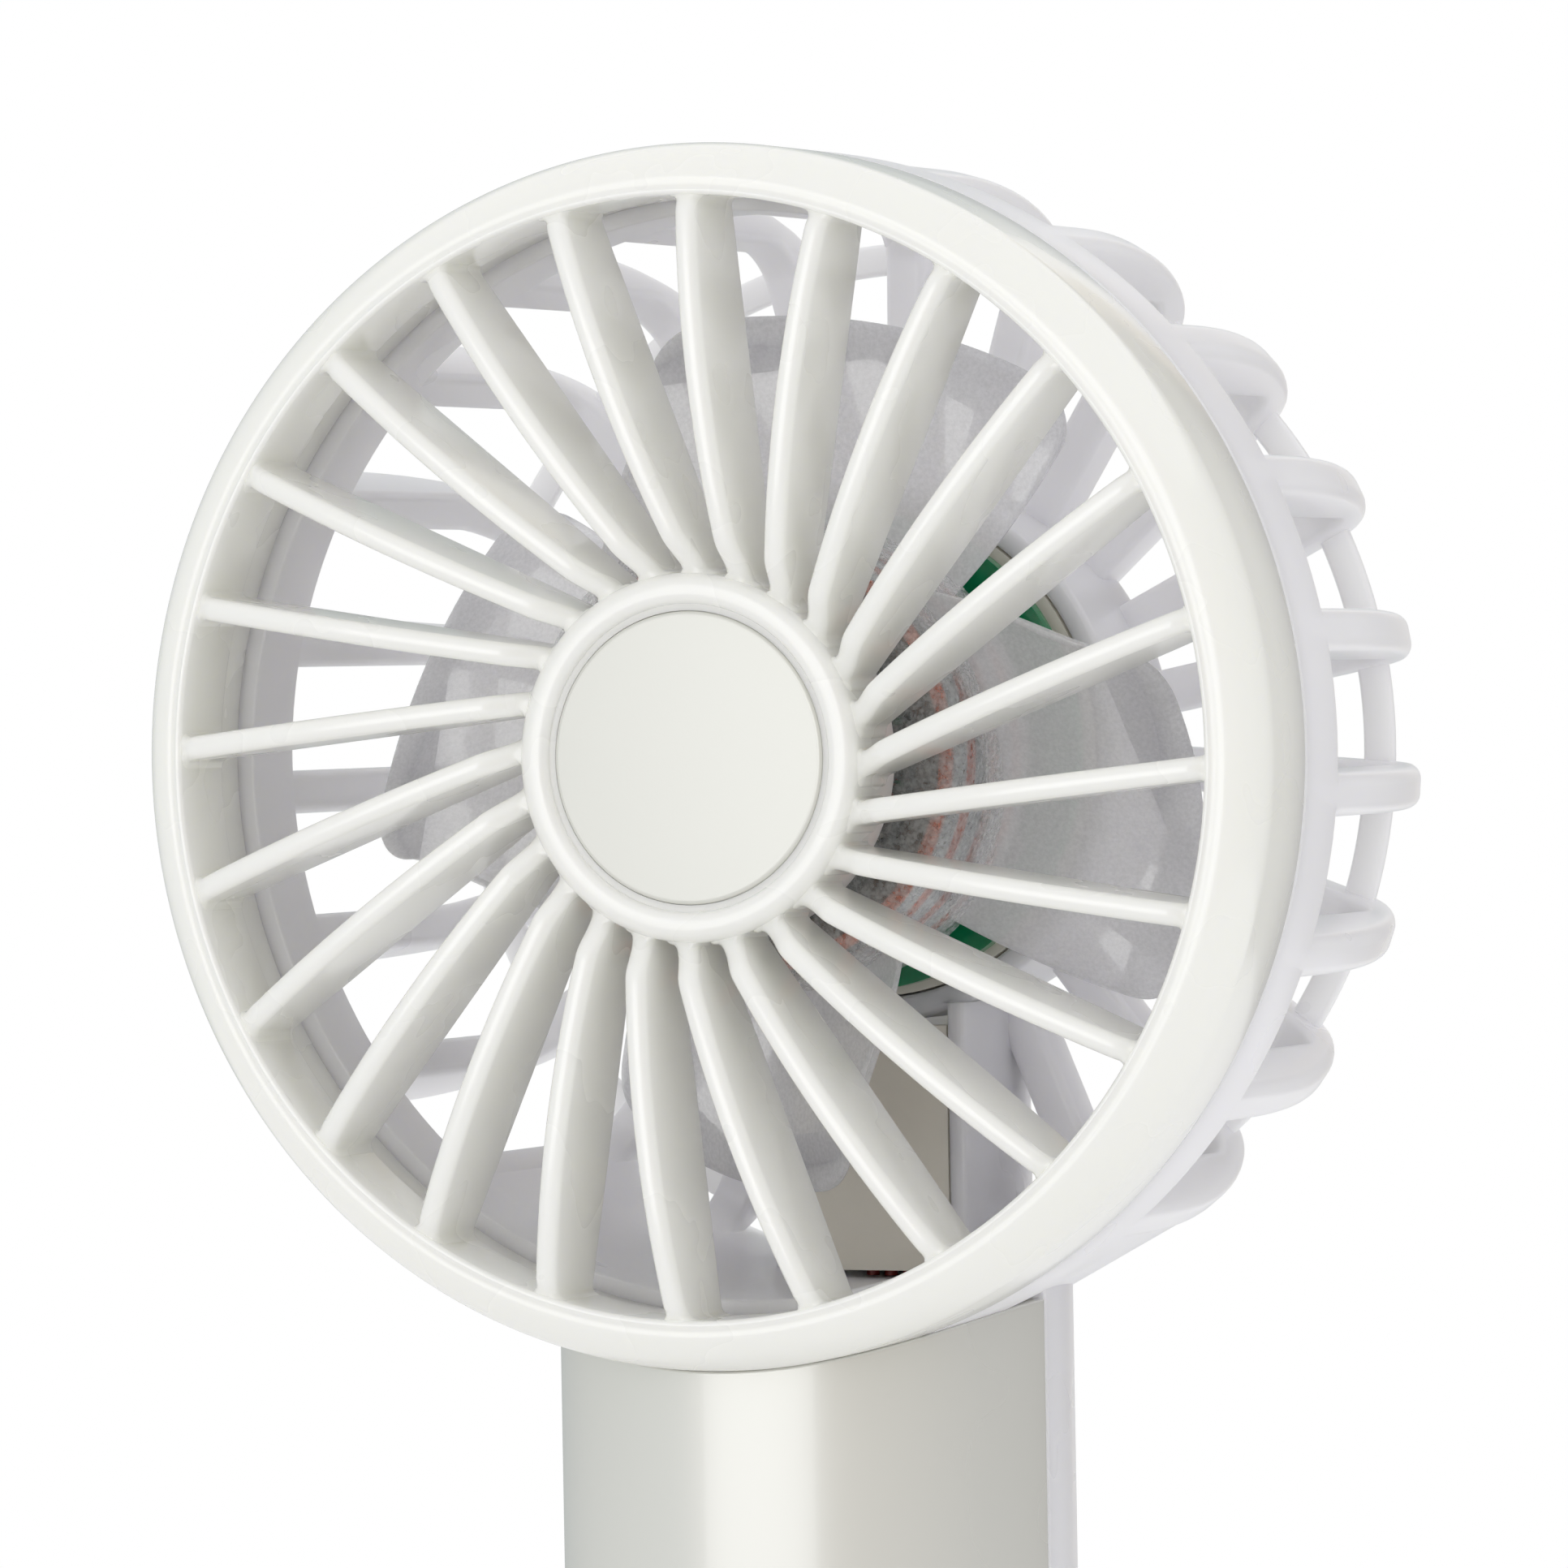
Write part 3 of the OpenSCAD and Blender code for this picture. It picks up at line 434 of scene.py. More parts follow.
# bonded magnet: brownish grey with a coarse fleck
magnetFerrite = metal("ferrite_bonded_grey", {
    "colour": "9A7B6A", "shade": "4E4744", "grain": 0.9, "roughness": 0.45, "relief": 0.01,
})

# nickel-plated steel with orange bands, which stand in for the copper of the windings that the yoke hides
steelBanded = metal("steel_plated_copper_bands", {
    "colour": "E2E4E6", "shade": "A8A6A2", "grain": 0.6, "roughness": 0.3, "relief": 0.01, "band": 4.2,
    "bandColour": "D0683F",
})

# enamelled copper wire, wound: warm orange metal, streaked about every 0.15 mm along y
copperWound = metal("copper_enamelled_wound", {
    "colour": "E07E50", "shade": "B4532F", "grain": 0.6, "roughness": 0.3, "brush": (1.0, 4.0, 1.0),
    "relief": 0.05,
})

# sintered bronze bearing: brownish gold, slightly porous
bronzeSintered = metal("bronze_sintered", {
    "colour": "B08A56", "shade": "94713F", "grain": 0.25, "roughness": 0.42, "relief": 0.01,
})


def frostedPc(name, look):
    # polycarbonate moulded against a sand-blasted tool: a grainy relief catches glints, and the alpha sets
    # the milky share, the veil, which the grain varies by the mottle up and down
    material, tree = newMaterial(name)
    place = addNode(tree, "ShaderNodeTexCoord").outputs["Object"]
    grain = addNode(tree, "ShaderNodeTexNoise", {"Scale": 1 / (look["grain"] * mm), "Detail": 3.0,
                                                 "Roughness": 0.6},
                    {"Vector": place})
    relief = addNode(tree, "ShaderNodeBump", {"Strength": 1.0, "Distance": look["relief"] * mm},
                     {"Height": grain.outputs["Fac"]})
    tone = addNode(tree, "ShaderNodeMix", {"data_type": "RGBA", 6: linear(look["shade"]),
                                           7: linear(look["colour"])},
                   {0: grain.outputs["Fac"]}).outputs[2]
    veil = addNode(tree, "ShaderNodeMapRange", {1: 0.35, 2: 0.65, 3: look["veil"] - look["mottle"],
                                                4: look["veil"] + look["mottle"]}, {0: grain.outputs["Fac"]})
    shader = addNode(tree, "ShaderNodeBsdfPrincipled", {
        "IOR": 1.58, "Roughness": look["roughness"], "Subsurface Weight": look["glow"],
        "Subsurface Radius": (1.0, 1.0, 1.0), "Subsurface Scale": 1.5 * mm,
    }, {"Base Color": tone, "Alpha": veil.outputs[0], "Normal": relief.outputs[0]})
    addNode(tree, "ShaderNodeOutputMaterial", {}, {"Surface": shader.outputs[0]})
    return material


# frosted PC of the blades: a little over half milky, with a fine sparkle
bladePc = frostedPc("pc_frosted_blade", {
    "colour": "F7F6FA", "shade": "F0EFF5", "grain": 0.3, "relief": 0.02, "veil": 0.55, "mottle": 0.04,
    "roughness": 0.32, "glow": 0.9,
})

# frosted PC of the hub wall: clearer, so that the motor shows through it, mottled by the grain
hubPc = frostedPc("pc_frosted_hub", {
    "colour": "EEF1F2", "shade": "E2E6E8", "grain": 0.5, "relief": 0.04, "veil": 0.22, "mottle": 0.16,
    "roughness": 0.28, "glow": 0.5,
})
print("materials made")

grille = {
    "filletRadius": 0.4,   # bright rounded lip of the air opening
    "dipDepth": 0.16,      # shallow dip between the lip and the ring's bead
    "dipRadius": 41.35,
    "dipWidth": 0.34,
    "stepDepth": 6.7,      # small step inside the ring, level with the louvres' rear edges
    "stepHeight": 0.35,
    "edgeRound": 0.25,
}


def ringProfile(spec):
    # bead: (R + w cos t, w - w sin t) for t from the side round to the front, then the lip's quarter circle;
    # the dip adds h exp(-((r - r0) / w0)^2) to the depth
    inner, width, lip = head["openingRadius"], head["ringWidth"], spec["filletRadius"]
    last = math.acos(lip / width)
    t = np.linspace(0, last, 40)
    bead = np.stack([inner + width * np.cos(t), width - width * np.sin(t)], 1)
    t = np.linspace(0.08, math.pi / 2, 8)
    edge = np.stack([inner + lip - lip * np.sin(t), lip - lip * np.cos(t)], 1)
    front = np.concatenate([bead, edge])
    front[:, 1] += spec["dipDepth"] * np.exp(-((front[:, 0] - spec["dipRadius"]) / spec["dipWidth"]) ** 2)
    step, rise, r = spec["stepDepth"], spec["stepHeight"], spec["edgeRound"]
    back = head["grilleDepth"]
    rest = roundPath([(inner, 2.0, 0), (inner, step, 0.3), (inner + rise, step + 0.25, 0.15),
                      (inner + rise, back, r),
                      (head["ringRadius"], back, r), (head["ringRadius"], 6.0, 0)], 4)
    return np.concatenate([front, rest])


ringSheets = [sheet(revolve(ringProfile(grille), aboutFan, 256), True, True)]

louvres = {
    "count": 24,
    "first": 6.2,          # degrees of the first louvre above the right-hand side
    "thickness": 1.7,
    "swirl": 5.5,          # each louvre's line passes this far beside the axis
    "crestAt": 27.2,
    "crest": 1.8,          # the domed front edge stands this far in front of the opening
    "domeRadius": 49.0,
    "back": 6.8,
    "backRound": 0.3,
    "footRadius": 12.4,
    "tipRadius": 41.1,
    "tipDepth": 0.4,       # the front edge dives under the ring's lip
    "tipBefore": 1.2,      # it starts to dive this far inside the opening's edge
    "tipBlend": 1.7,
    "ringFlare": 0.6,      # fillets where a louvre meets the ring and the hub
    "hubFlare": 0.55,
    "hubRadius": 13.4,
    "hubDepth": 1.75,
    "hubBefore": 2.8,      # the front edge starts to drop to the hub's shoulder this far outside the hub
    "hubBlend": 3.0,
}


def louvreGrid(spec):
    # along s, the front edge is a circle: depth = c - sqrt(R^2 - (s - s0)^2) with c = R - crest; the back
    # edge is flat. Near the hub the front edge is drawn to the shoulder's depth by w^2 (3 - 2 w), with w from
    # 0 to 1 over the blend. Half width = t / 2 + f (1 - sqrt(1 - x^2)), where x grows from 0 to 1 over the
    # last f millimetres to a wall
    swirl = spec["swirl"]
    start = math.sqrt(spec["footRadius"] ** 2 - swirl ** 2)
    stop = math.sqrt(spec["tipRadius"] ** 2 - swirl ** 2)
    ease = (1 - np.cos(np.linspace(0, math.pi, 72))) / 2
    s = start + (stop - start) * ease
    dome = spec["domeRadius"] - spec["crest"] - np.sqrt(spec["domeRadius"] ** 2 - (s - spec["crestAt"]) ** 2)
    radius = np.hypot(s, swirl)
    blend = np.clip((radius - head["openingRadius"] + spec["tipBefore"]) / spec["tipBlend"], 0, 1)
    dome = dome + (spec["tipDepth"] - dome) * blend * blend * (3 - 2 * blend)
    blend = np.clip((spec["hubRadius"] + spec["hubBefore"] - radius) / spec["hubBlend"], 0, 1)
    dome = dome + (spec["hubDepth"] - dome) * blend * blend * (3 - 2 * blend)
    line = np.full_like(s, -swirl)
    front = np.stack([s, dome, line], 1)
    back = np.stack([s, np.full_like(s, spec["back"]), line], 1)
    widths = []
    for side in (1, -1):
        wall = np.hypot(s, side * spec["thickness"] / 2 - swirl)
        ring = 1 - (head["openingRadius"] - wall) / spec["ringFlare"]
        hub = 1 - (wall - spec["hubRadius"]) / spec["hubFlare"]
        width = np.full_like(s, spec["thickness"] / 2)
        for share, flare in ((ring, spec["ringFlare"]), (hub, spec["hubFlare"])):
            width += flare * (1 - np.sqrt(1 - np.clip(share, 0, 1) ** 2))
        widths.append(width)
    half = spec["thickness"] / 2
    return barSection(front, back, np.array([0, 0, 1.0]), widths[0], widths[1], half, spec["backRound"], 8)


def turnCopies(grid, angles):
    # copies of a grid (x, depth, z) turned about the fan's axis: x' = x cos a - z sin a, z' = x sin a + z cos
    # a
    sheets = []
    for a in angles:
        x = grid[..., 0] * math.cos(a) - grid[..., 2] * math.sin(a)
        z = grid[..., 0] * math.sin(a) + grid[..., 2] * math.cos(a)
        turned = np.stack([x, grid[..., 1] + head["openingY"], z + head["axisZ"]], -1)
        sheets.append(sheet(turned, False, True))
    return sheets


louvreAngles = np.radians(louvres["first"] + np.arange(louvres["count"]) * 360 / louvres["count"])
louvreSheets = turnCopies(capEnds(louvreGrid(louvres)), louvreAngles)

hub = {
    "radius": 13.4, "rimWidth": 2.25, "front": 0.9, "back": 8.6, "skirtWall": 1.3,
    "rimInside": 0.8,      # rounding of the rim towards the disc
    "ledge": 1.75,         # depth of the narrow groove between the disc and the rim
    "pocket": 10.65,       # radius of the seat that takes the disc
    "floor": 2.6, "floorBack": 4.0, "discRadius": 10.62, "discFront": 1.55, "discCrown": 0.25,
}


def hubProfile(spec):
    # from the axis over the floor, up inside the round rim, over it, down the skirt and back to the axis
    rim = spec["rimWidth"] / 2
    inner = spec["radius"] - spec["rimWidth"]
    skirt = spec["radius"] - spec["skirtWall"]
    return roundPath([(0, spec["floor"], 0), (spec["pocket"], spec["floor"], 0),
                      (spec["pocket"], spec["ledge"], 0),
                      (inner, spec["ledge"], 0), (inner, spec["front"], spec["rimInside"]),
                      (spec["radius"], spec["front"], rim * 0.999), (spec["radius"], spec["back"], 0.3),
                      (skirt, spec["back"], 0.3), (skirt, spec["floorBack"], 0.3), (0, spec["floorBack"], 0)],
                     10)


hubSheets = [sheet(revolve(hubProfile(hub), aboutFan), True, True)]
buildPiece("frontGrille", [ringSheets, louvreSheets, hubSheets], grilleAbs, "case",
           ["front_grille"])


def discProfile(spec):
    # face: depth = front - crown (1 - (r / R)^2), with a rounded edge and a flat back
    r = np.linspace(0, spec["discRadius"] - 0.3, 24)
    face = np.stack([r, spec["discFront"] - spec["discCrown"] * (1 - (r / spec["discRadius"]) ** 2)], 1)
    edge = roundPath([(0, spec["floor"], 0), (r[-1], spec["discFront"], 0),
                      (spec["discRadius"], spec["discFront"], 0.3),
                      (spec["discRadius"], spec["floor"], 0)], 5)[2:]
    return np.concatenate([face, edge, [[0, spec["floor"]]]])


buildPiece("hubDisc", [[sheet(revolve(discProfile(hub), aboutFan), True, True)]], discPearl, "case",
           ["hub_disc"])
print("front grille built")

cage = {
    "ribCount": 23,        # places round the cage; the wire column takes the two lowest
    "ribThickness": 3.2,
    "ribTurn": 0.6,        # degrees by which the ribs are turned from the upright
    "ribRound": 1.05,
    "neckRibSunk": 0.6,    # the two ribs inside the neck stay this far below its surface
    "armWidth": 5.0,
    "innerRound": 3.0,
    "foot": 19.5,          # the ribs' ends inside the motor cup's wall
    "hoopInner": 36.3,
    "hoopWidth": 2.4,
    "hoopFront": 43.5,
    "hoopThickness": 1.0,
    "cupRadius": 20.5,
    "cupFront": 34.0,
    "cupWall": 1.8,
    "cupFloor": 1.6,
    "cupRound": 2.0,
    "cupStep": 2.0,        # step inside the cup's mouth
    "cupStepIn": 0.8,
    "columnHalf": 8.0,
    "columnFront": 33.0,
    "columnWall": 1.5,
    "columnTop": 1.5,      # the column starts this far inside the cup
    "columnEnd": 2.5,      # and ends this far inside the head's outline
    "neckSpread": 38.3,    # half the angle that the neck takes of the head's circle
    "neckInset": 0.1,      # the neck stays this far below the outline of the ribs and the ring
    "neckEase": 6.0,       # the flattening grows over this depth behind the band
    "neckFlat": (18.8, 38.0),  # between these angles from the bottom the neck is flattened to a chord
    "edgeRound": 0.25,
}


def bandProfile(spec):
    # plain band behind the front grille: a rounded rectangle from the duct's radius to the ring's
    r, d = head["ringRadius"], head["bandBack"]
    first = head["grilleDepth"] + head["seam"]
    return roundPath([(head["ductRadius"], first, 0.2), (r, first, spec["edgeRound"]), (r, d, 0.5),
                      (head["ductRadius"], d, 0.4)], 5)


bandSheets = [sheet(revolve(bandProfile(cage), aboutFan, 256), True, True)]


def rearEdge(t, inset=0.0):
    # the head's rear edge from the side, t = 0, to the rear: r = R - a (1 - cos t), depth = D - b (1 - sin t)
    radius = head["ringRadius"] - inset - head["rearRound"] * (1 - np.cos(t))
    return radius, head["depth"] - inset - head["rearReach"] * (1 - np.sin(t))


def outlineDepth(radius):
    # depth of the same edge at a radius: D - b (1 - sqrt(1 - x^2)), where x grows from 0 to 1 over the last a
    x = np.clip((radius - head["ringRadius"] + head["rearRound"]) / head["rearRound"], 0, 1)
    return head["depth"] - head["rearReach"] * (1 - np.sqrt(1 - x ** 2))


def ribGrid(spec, sunk=0.0):
    # two edge lines with matching points: along the side, round the rear edge and in across the rear face.
    # The inner line is straight up to its own small circle, which it follows from t = first to a right angle
    start = head["depth"] - head["rearReach"]
    corner, armFront = head["ductRadius"] - spec["innerRound"], head["depth"] - spec["armWidth"]
    side = np.linspace(head["bandBack"] - 1, start, 10)
    t = np.linspace(0, math.pi / 2, 48)[1:]
    edgeR, edgeD = rearEdge(t, sunk)
    flat = np.linspace(edgeR[-1], spec["foot"], 16)[1:]
    outerR = np.concatenate([np.full_like(side, head["ringRadius"] - sunk), edgeR, flat])
    outerD = np.concatenate([side, edgeD, np.full_like(flat, head["depth"] - sunk)])
    first = math.asin((armFront - spec["innerRound"] - start) / head["rearReach"])
    turn = np.clip((t - first) / (math.pi / 2 - first), 0, 1) * math.pi / 2
    reach = (corner - spec["foot"]) / (edgeR[-1] - spec["foot"])
    innerR = np.concatenate([np.full_like(side, head["ductRadius"]),
                             corner + spec["innerRound"] * np.cos(turn),
                             spec["foot"] + (flat - spec["foot"]) * reach])
    bend = armFront - spec["innerRound"] * (1 - np.sin(turn))
    innerD = np.concatenate([side, np.where(t < first, edgeD, bend), np.full_like(flat, armFront)])
    front = np.stack([outerR, outerD, 0 * outerR], 1)
    back = np.stack([innerR, innerD, 0 * innerR], 1)
    half = np.full(len(front), spec["ribThickness"] / 2)
    return barSection(front, back, np.array([0, 0, 1.0]), half, half, spec["ribRound"],
                      spec["ribRound"] * 0.7)


places = np.arange(cage["ribCount"])
fromBottom = np.abs(places - cage["ribCount"] / 2)
ribAngles = np.radians(90 - cage["ribTurn"] + places * 360 / cage["ribCount"])
ribSheets = turnCopies(capEnds(ribGrid(cage)), ribAngles[fromBottom > 2])
ribSheets += turnCopies(capEnds(ribGrid(cage, cage["neckRibSunk"])),
                        ribAngles[(fromBottom > 1.2) & (fromBottom < 2)])

hoopBack = cage["hoopFront"] + cage["hoopThickness"]
hoopOuter = cage["hoopInner"] + cage["hoopWidth"]
hoopProfile = roundPath([(cage["hoopInner"], cage["hoopFront"], 0.35), (hoopOuter, cage["hoopFront"], 0.35),
                         (hoopOuter, hoopBack, 0.35), (cage["hoopInner"], hoopBack, 0.35)], 4)
hoopSheets = [sheet(revolve(hoopProfile, aboutFan, 256), True, True)]


def cupProfile(spec):
    # rear face from the axis, round the edge, along the outside to the front rim, then the stepped inside
    r, front, back = spec["cupRadius"], spec["cupFront"], head["depth"]
    inner, floor = r - spec["cupWall"], back - spec["cupFloor"]
    step, inset = front + spec["cupStep"], spec["cupStepIn"]
    return roundPath([(0, back, 0), (r, back, spec["cupRound"]), (r, front, 0.5), (inner, front, 0.3),
                      (inner, step, 0), (inner - inset, step, 0), (inner - inset, floor, 0.3), (0, floor, 0)],
                     6)


cupSheets = [sheet(revolve(cupProfile(cage), aboutFan), True, True)]


def columnGrid(spec):
    # a channel section carried down from the cup: its rear wall follows the head's rear outline
    half, wall, front = spec["columnHalf"], spec["columnWall"], spec["columnFront"]
    back = head["depth"]
    loop = roundPath([(-half, front, 0.4), (wall - half, front, 0.4), (wall - half, back - wall, 0.3),
                      (half - wall, back - wall, 0.3), (half - wall, front, 0.4), (half, front, 0.4),
                      (half, back, 1.0), (-half, back, 1.0)], 4)
    top, end = spec["cupRadius"] - spec["columnTop"], head["ringRadius"] - spec["columnEnd"]
    down = np.linspace(top, end, 30)[:, None]
    shift = (outlineDepth(np.hypot(down, half * 0.6)) - back) * (loop[None, :, 1] > front + 5)
    return np.stack(np.broadcast_arrays(loop[None, :, 0], loop[None, :, 1] + shift, -down), -1)


columnSheets = turnCopies(capEnds(columnGrid(cage)), [0.0])


def neckGrid(spec):
    # the head's outline carried round the bottom of its circle. Between two angles the radius is scaled by
    # cos(half) / cos(angle from their middle), which makes a chord, and so it is below them; this sets in
    # behind the band
    first = head["grilleDepth"] + head["seam"]
    start = head["depth"] - head["rearReach"]
    last = math.acos(1 - (head["ringRadius"] - spec["neckInset"] - head["ductRadius"]) / head["rearRound"])
    side = np.linspace(first + 0.3, start, 20)
    edgeR, edgeD = rearEdge(np.linspace(0, last, 30)[1:], spec["neckInset"])
    outer = np.concatenate([np.stack([np.full_like(side, head["ringRadius"] - spec["neckInset"]), side], 1),
                            np.stack([edgeR, edgeD], 1)])
    inner = np.linspace(outer[-1, 1], first + 0.2, 24)[1:, None]
    inner = np.concatenate([np.full_like(inner, head["ductRadius"]), inner], 1)
    lip = np.array([[head["ductRadius"] + 0.2, first], [head["ringRadius"] - 0.4, first]])
    loop = np.concatenate([outer, inner, lip])
    low, high = np.radians(spec["neckFlat"])
    span = np.radians(spec["neckSpread"])
    turn = np.linspace(-span, span, 140)[:, None]
    away = np.abs(np.abs(turn) - (low + high) / 2)
    chord = np.where(away < (high - low) / 2, math.cos((high - low) / 2) / np.cos(away), 1)
    chord = np.where(np.abs(turn) < low, math.cos(low) / np.cos(turn), chord)
    behind = loop[None, :, 1] - head["bandBack"]
    share = np.clip(behind / spec["neckEase"], 0, 1) * (loop[None, :, 0] > head["ductRadius"] + 1)
    radius = loop[None, :, 0] * (1 - share * (1 - chord))
    return aboutFan(radius, turn - math.pi / 2, loop[None, :, 1])


neckSheets = [sheet(capEnds(neckGrid(cage)), False, True)]
print("cage drawn")

handle = {
    "radius": handleHigh[0],
    "wall": 1.8,
    "parting": 1.4,        # the shells' parting plane lies this far in front of the handle's axis
    "edgeRound": 0.2,
    "bottom": handleLow[2],
    "saddle": 0.03,        # gap between the front shell's top and the head's ring
    "buttonRadius": 6.0,
    "buttonGap": 0.2,
    "buttonBlock": 9.0,    # half the square of wall round the button's hole that rings of faces fill
    "windowBlock": (1.5, 1.6),  # and this far beyond the window's outline, sideways and upwards
    "socketBlock": 2.2,
    "rearTop": 40.8,       # the rear shell runs up inside the head's neck to this radius
}
buttonZ = (buttonLow[2] + buttonHigh[2]) / 2
windowLow, windowHigh = boxOf("light_pipe")
socketLow, socketHigh = boxOf("usb_socket")


def slotOutline(halfLength, radius):
    # distance from the middle to the edge of a round-ended slot in the direction phi
    def reach(phi):
        c, s = np.abs(np.cos(phi)), np.abs(np.sin(phi))
        flat = radius / np.maximum(s, 1e-9)
        core = halfLength - radius
        curved = core * c + np.sqrt(np.maximum(radius ** 2 - (core * s) ** 2, 0))
        return np.where(flat * c <= core, flat, curved)
    return reach


def shellWall(angles, low, tops, holes, spec):
    # half of the handle's tube, unrolled to (radius x angle, height): each point lies on the tube, lowered by
    # the rounded edge of the nearest rim. Round a hole, the grid's block is replaced by rings that blend from
    # the block's border to the hole's outline: p = border (1 - w) + outline w
    tube, rim = spec["radius"], spec["edgeRound"]
    u = tube * angles
    v = np.linspace(0, 1, 110)
    rows = low + v[None, :] * (tops(angles)[:, None] - low)
    cluster = np.array([0.03, 0.1, 0.2, 0.35, 0.7])
    for k, extra in enumerate(cluster):
        rows[:, k + 1] = rows[:, 0] + extra
        rows[:, -k - 2] = rows[:, -1] - extra
    grid = np.stack(np.broadcast_arrays(u[:, None], rows), -1)
    count, columns = grid.shape[:2]
    faces = gridFaces(count, columns)
    edgeGap = np.minimum(np.minimum(u - u[0], u[-1] - u)[:, None],
                         np.minimum(rows - low, rows[:, -1:] - rows))
    points, gaps, keep = [grid.reshape(-1, 2)], [edgeGap.reshape(-1)], np.ones(len(faces), bool)
    allFaces = []
    start = count * columns
    for centreAngle, centreZ, halfW, halfH, reach in holes:
        i0, i1 = np.searchsorted(u, [tube * centreAngle - halfW, tube * centreAngle + halfW])
        j0, j1 = np.searchsorted(rows[count // 2], [centreZ - halfH, centreZ + halfH])
        i, j = faces[:, 0] // columns, faces[:, 0] % columns
        keep &= ~((i >= i0) & (i < i1) & (j >= j0) & (j < j1))
        loopI = np.concatenate([np.arange(i0, i1), np.full(j1 - j0, i1), np.arange(i1, i0, -1),
                                np.full(j1 - j0, i0)])
        loopJ = np.concatenate([np.full(i1 - i0, j0), np.arange(j0, j1), np.full(i1 - i0, j1),
                                np.arange(j1, j0, -1)])
        border = grid[loopI, loopJ]
        offset = border - [tube * centreAngle, centreZ]
        phi = np.arctan2(offset[:, 1], offset[:, 0])
        direction = np.stack([np.cos(phi), np.sin(phi)], 1)
        outline = [tube * centreAngle, centreZ] + reach(phi)[:, None] * direction
        span = np.linalg.norm(border - outline, axis=1)
        near = np.array([1.0, 0.35, 0.2, 0.1, 0.03, 0.0])
        share = np.concatenate([np.linspace(0, 1, 10)[1:-3, None] * np.ones_like(span),
                                1 - near[:, None] / span[None]])
        share = np.maximum.accumulate(np.clip(share, 0, 1), 0)
        rings = border[None] * (1 - share[..., None]) + outline[None] * share[..., None]
        points.append(rings.reshape(-1, 2))
        gaps.append(((1 - share) * span[None]).reshape(-1))
        ids = np.concatenate([(loopI * columns + loopJ)[None],
                              start + np.arange(rings[..., 0].size).reshape(rings.shape[:2])])
        nxt = np.roll(ids, -1, 1)
        quads = np.stack([ids[:-1], nxt[:-1], nxt[1:], ids[1:]], -1).reshape(-1, 4)
        allFaces.append(quads)
        start += rings[..., 0].size
    flat, gap = np.concatenate(points), np.concatenate(gaps)
    quads = np.concatenate([faces[keep], *allFaces])
    outer = aboutHandle(tube - quarterDrop(gap, rim), flat[:, 0] / tube, flat[:, 1])
    inner = aboutHandle(tube - spec["wall"] + 0 * gap, flat[:, 0] / tube, flat[:, 1])
    used, back = np.unique(quads, return_inverse=True)
    return thicken(outer[used], inner[used], back.reshape(quads.shape))


def spreadAngles(first, last, spec, count):
    # even steps with a few close ones at both ends for the rounded edges
    near = np.array([0, 0.03, 0.1, 0.2, 0.35, 0.7]) / spec["radius"]
    return np.concatenate([first + near, np.linspace(first, last, count)[2:-2], last - near[::-1]])


frontStart = math.acos((handle["parting"] + head["seam"]) / handle["radius"])
rearStart = math.acos(handle["parting"] / handle["radius"])
saddleRadius = head["ringRadius"] + handle["saddle"]


def saddleTop(angle):
    # the front shell ends on a cylinder about the fan's axis: z = axis - sqrt(S^2 - x^2)
    return head["axisZ"] - np.sqrt(saddleRadius ** 2 - (handle["radius"] * np.sin(angle)) ** 2)


def neckTop(angle):
    # the rear shell ends on a smaller cylinder about the same axis
    return head["axisZ"] - np.sqrt(handle["rearTop"] ** 2 - (handle["radius"] * np.sin(angle)) ** 2)


holeRadius = handle["buttonRadius"] + handle["buttonGap"]
windowHalf = (windowHigh[0] - windowLow[0]) / 2 + 0.05
windowRise = (windowHigh[2] - windowLow[2]) / 2 + 0.05
windowZ = (windowHigh[2] + windowLow[2]) / 2
frontHoles = [
    (0.0, buttonZ, handle["buttonBlock"], handle["buttonBlock"], slotOutline(holeRadius, holeRadius)),
    (0.0, windowZ, windowHalf + handle["windowBlock"][0], windowRise + handle["windowBlock"][1],
     slotOutline(windowHalf, windowRise)),
]
frontAngles = spreadAngles(-frontStart, frontStart, handle, 90)
frontSheets = [shellWall(frontAngles, handle["bottom"], saddleTop, frontHoles, handle)]
buildPiece("handleFront", [frontSheets], handleLacquer, "case", ["front_handle_shell"])

socketHalf = (socketHigh[0] - socketLow[0]) / 2 + 0.2
socketRise = (socketHigh[2] - socketLow[2]) / 2 + 0.2
socketZ = (socketHigh[2] + socketLow[2]) / 2
rearHoles = [(math.pi, socketZ, socketHalf + handle["socketBlock"], socketRise + handle["socketBlock"],
              slotOutline(socketHalf, socketRise))]
rearAngles = spreadAngles(rearStart, 2 * math.pi - rearStart, handle, 90)
rearSheets = [shellWall(rearAngles, handle["bottom"], neckTop, rearHoles, handle)]
shellGroups = [bandSheets, ribSheets, hoopSheets, cupSheets, columnSheets, neckSheets, rearSheets]
buildPiece("rearShell", shellGroups, shellPp, "case", ["rear_shell"])
print("rear shell built")


def baseProfile(spec):
    # rounded foot with a shallow recess under it, the visible rim and the plug that goes into the shells
    r, top = spec["radius"], capHigh[2]
    plug = r - spec["wall"] - 0.1
    rim = spec["bottom"] - head["seam"]
    return roundPath([(0, 0.0, 0), (r, 0.0, 1.2), (r, rim, 0.3), (plug, rim, 0), (plug, top, 0.3),
                      (plug - 1.6, top, 0.3), (plug - 1.6, rim, 0.3), (0, rim, 0)], 6)


buildPiece("baseCap", [[sheet(revolve(baseProfile(handle), aboutHandle), True, True)]], handleLacquer, "case",
           ["base_cap"])

button = {
    "face": buttonLow[1],
    "back": buttonHigh[1],
    "flange": buttonHigh[0],
    "flangeThickness": 1.0,
    "dish": 0.35,          # the face is hollowed by this much for the thumb
    "edgeRound": 0.6,
}


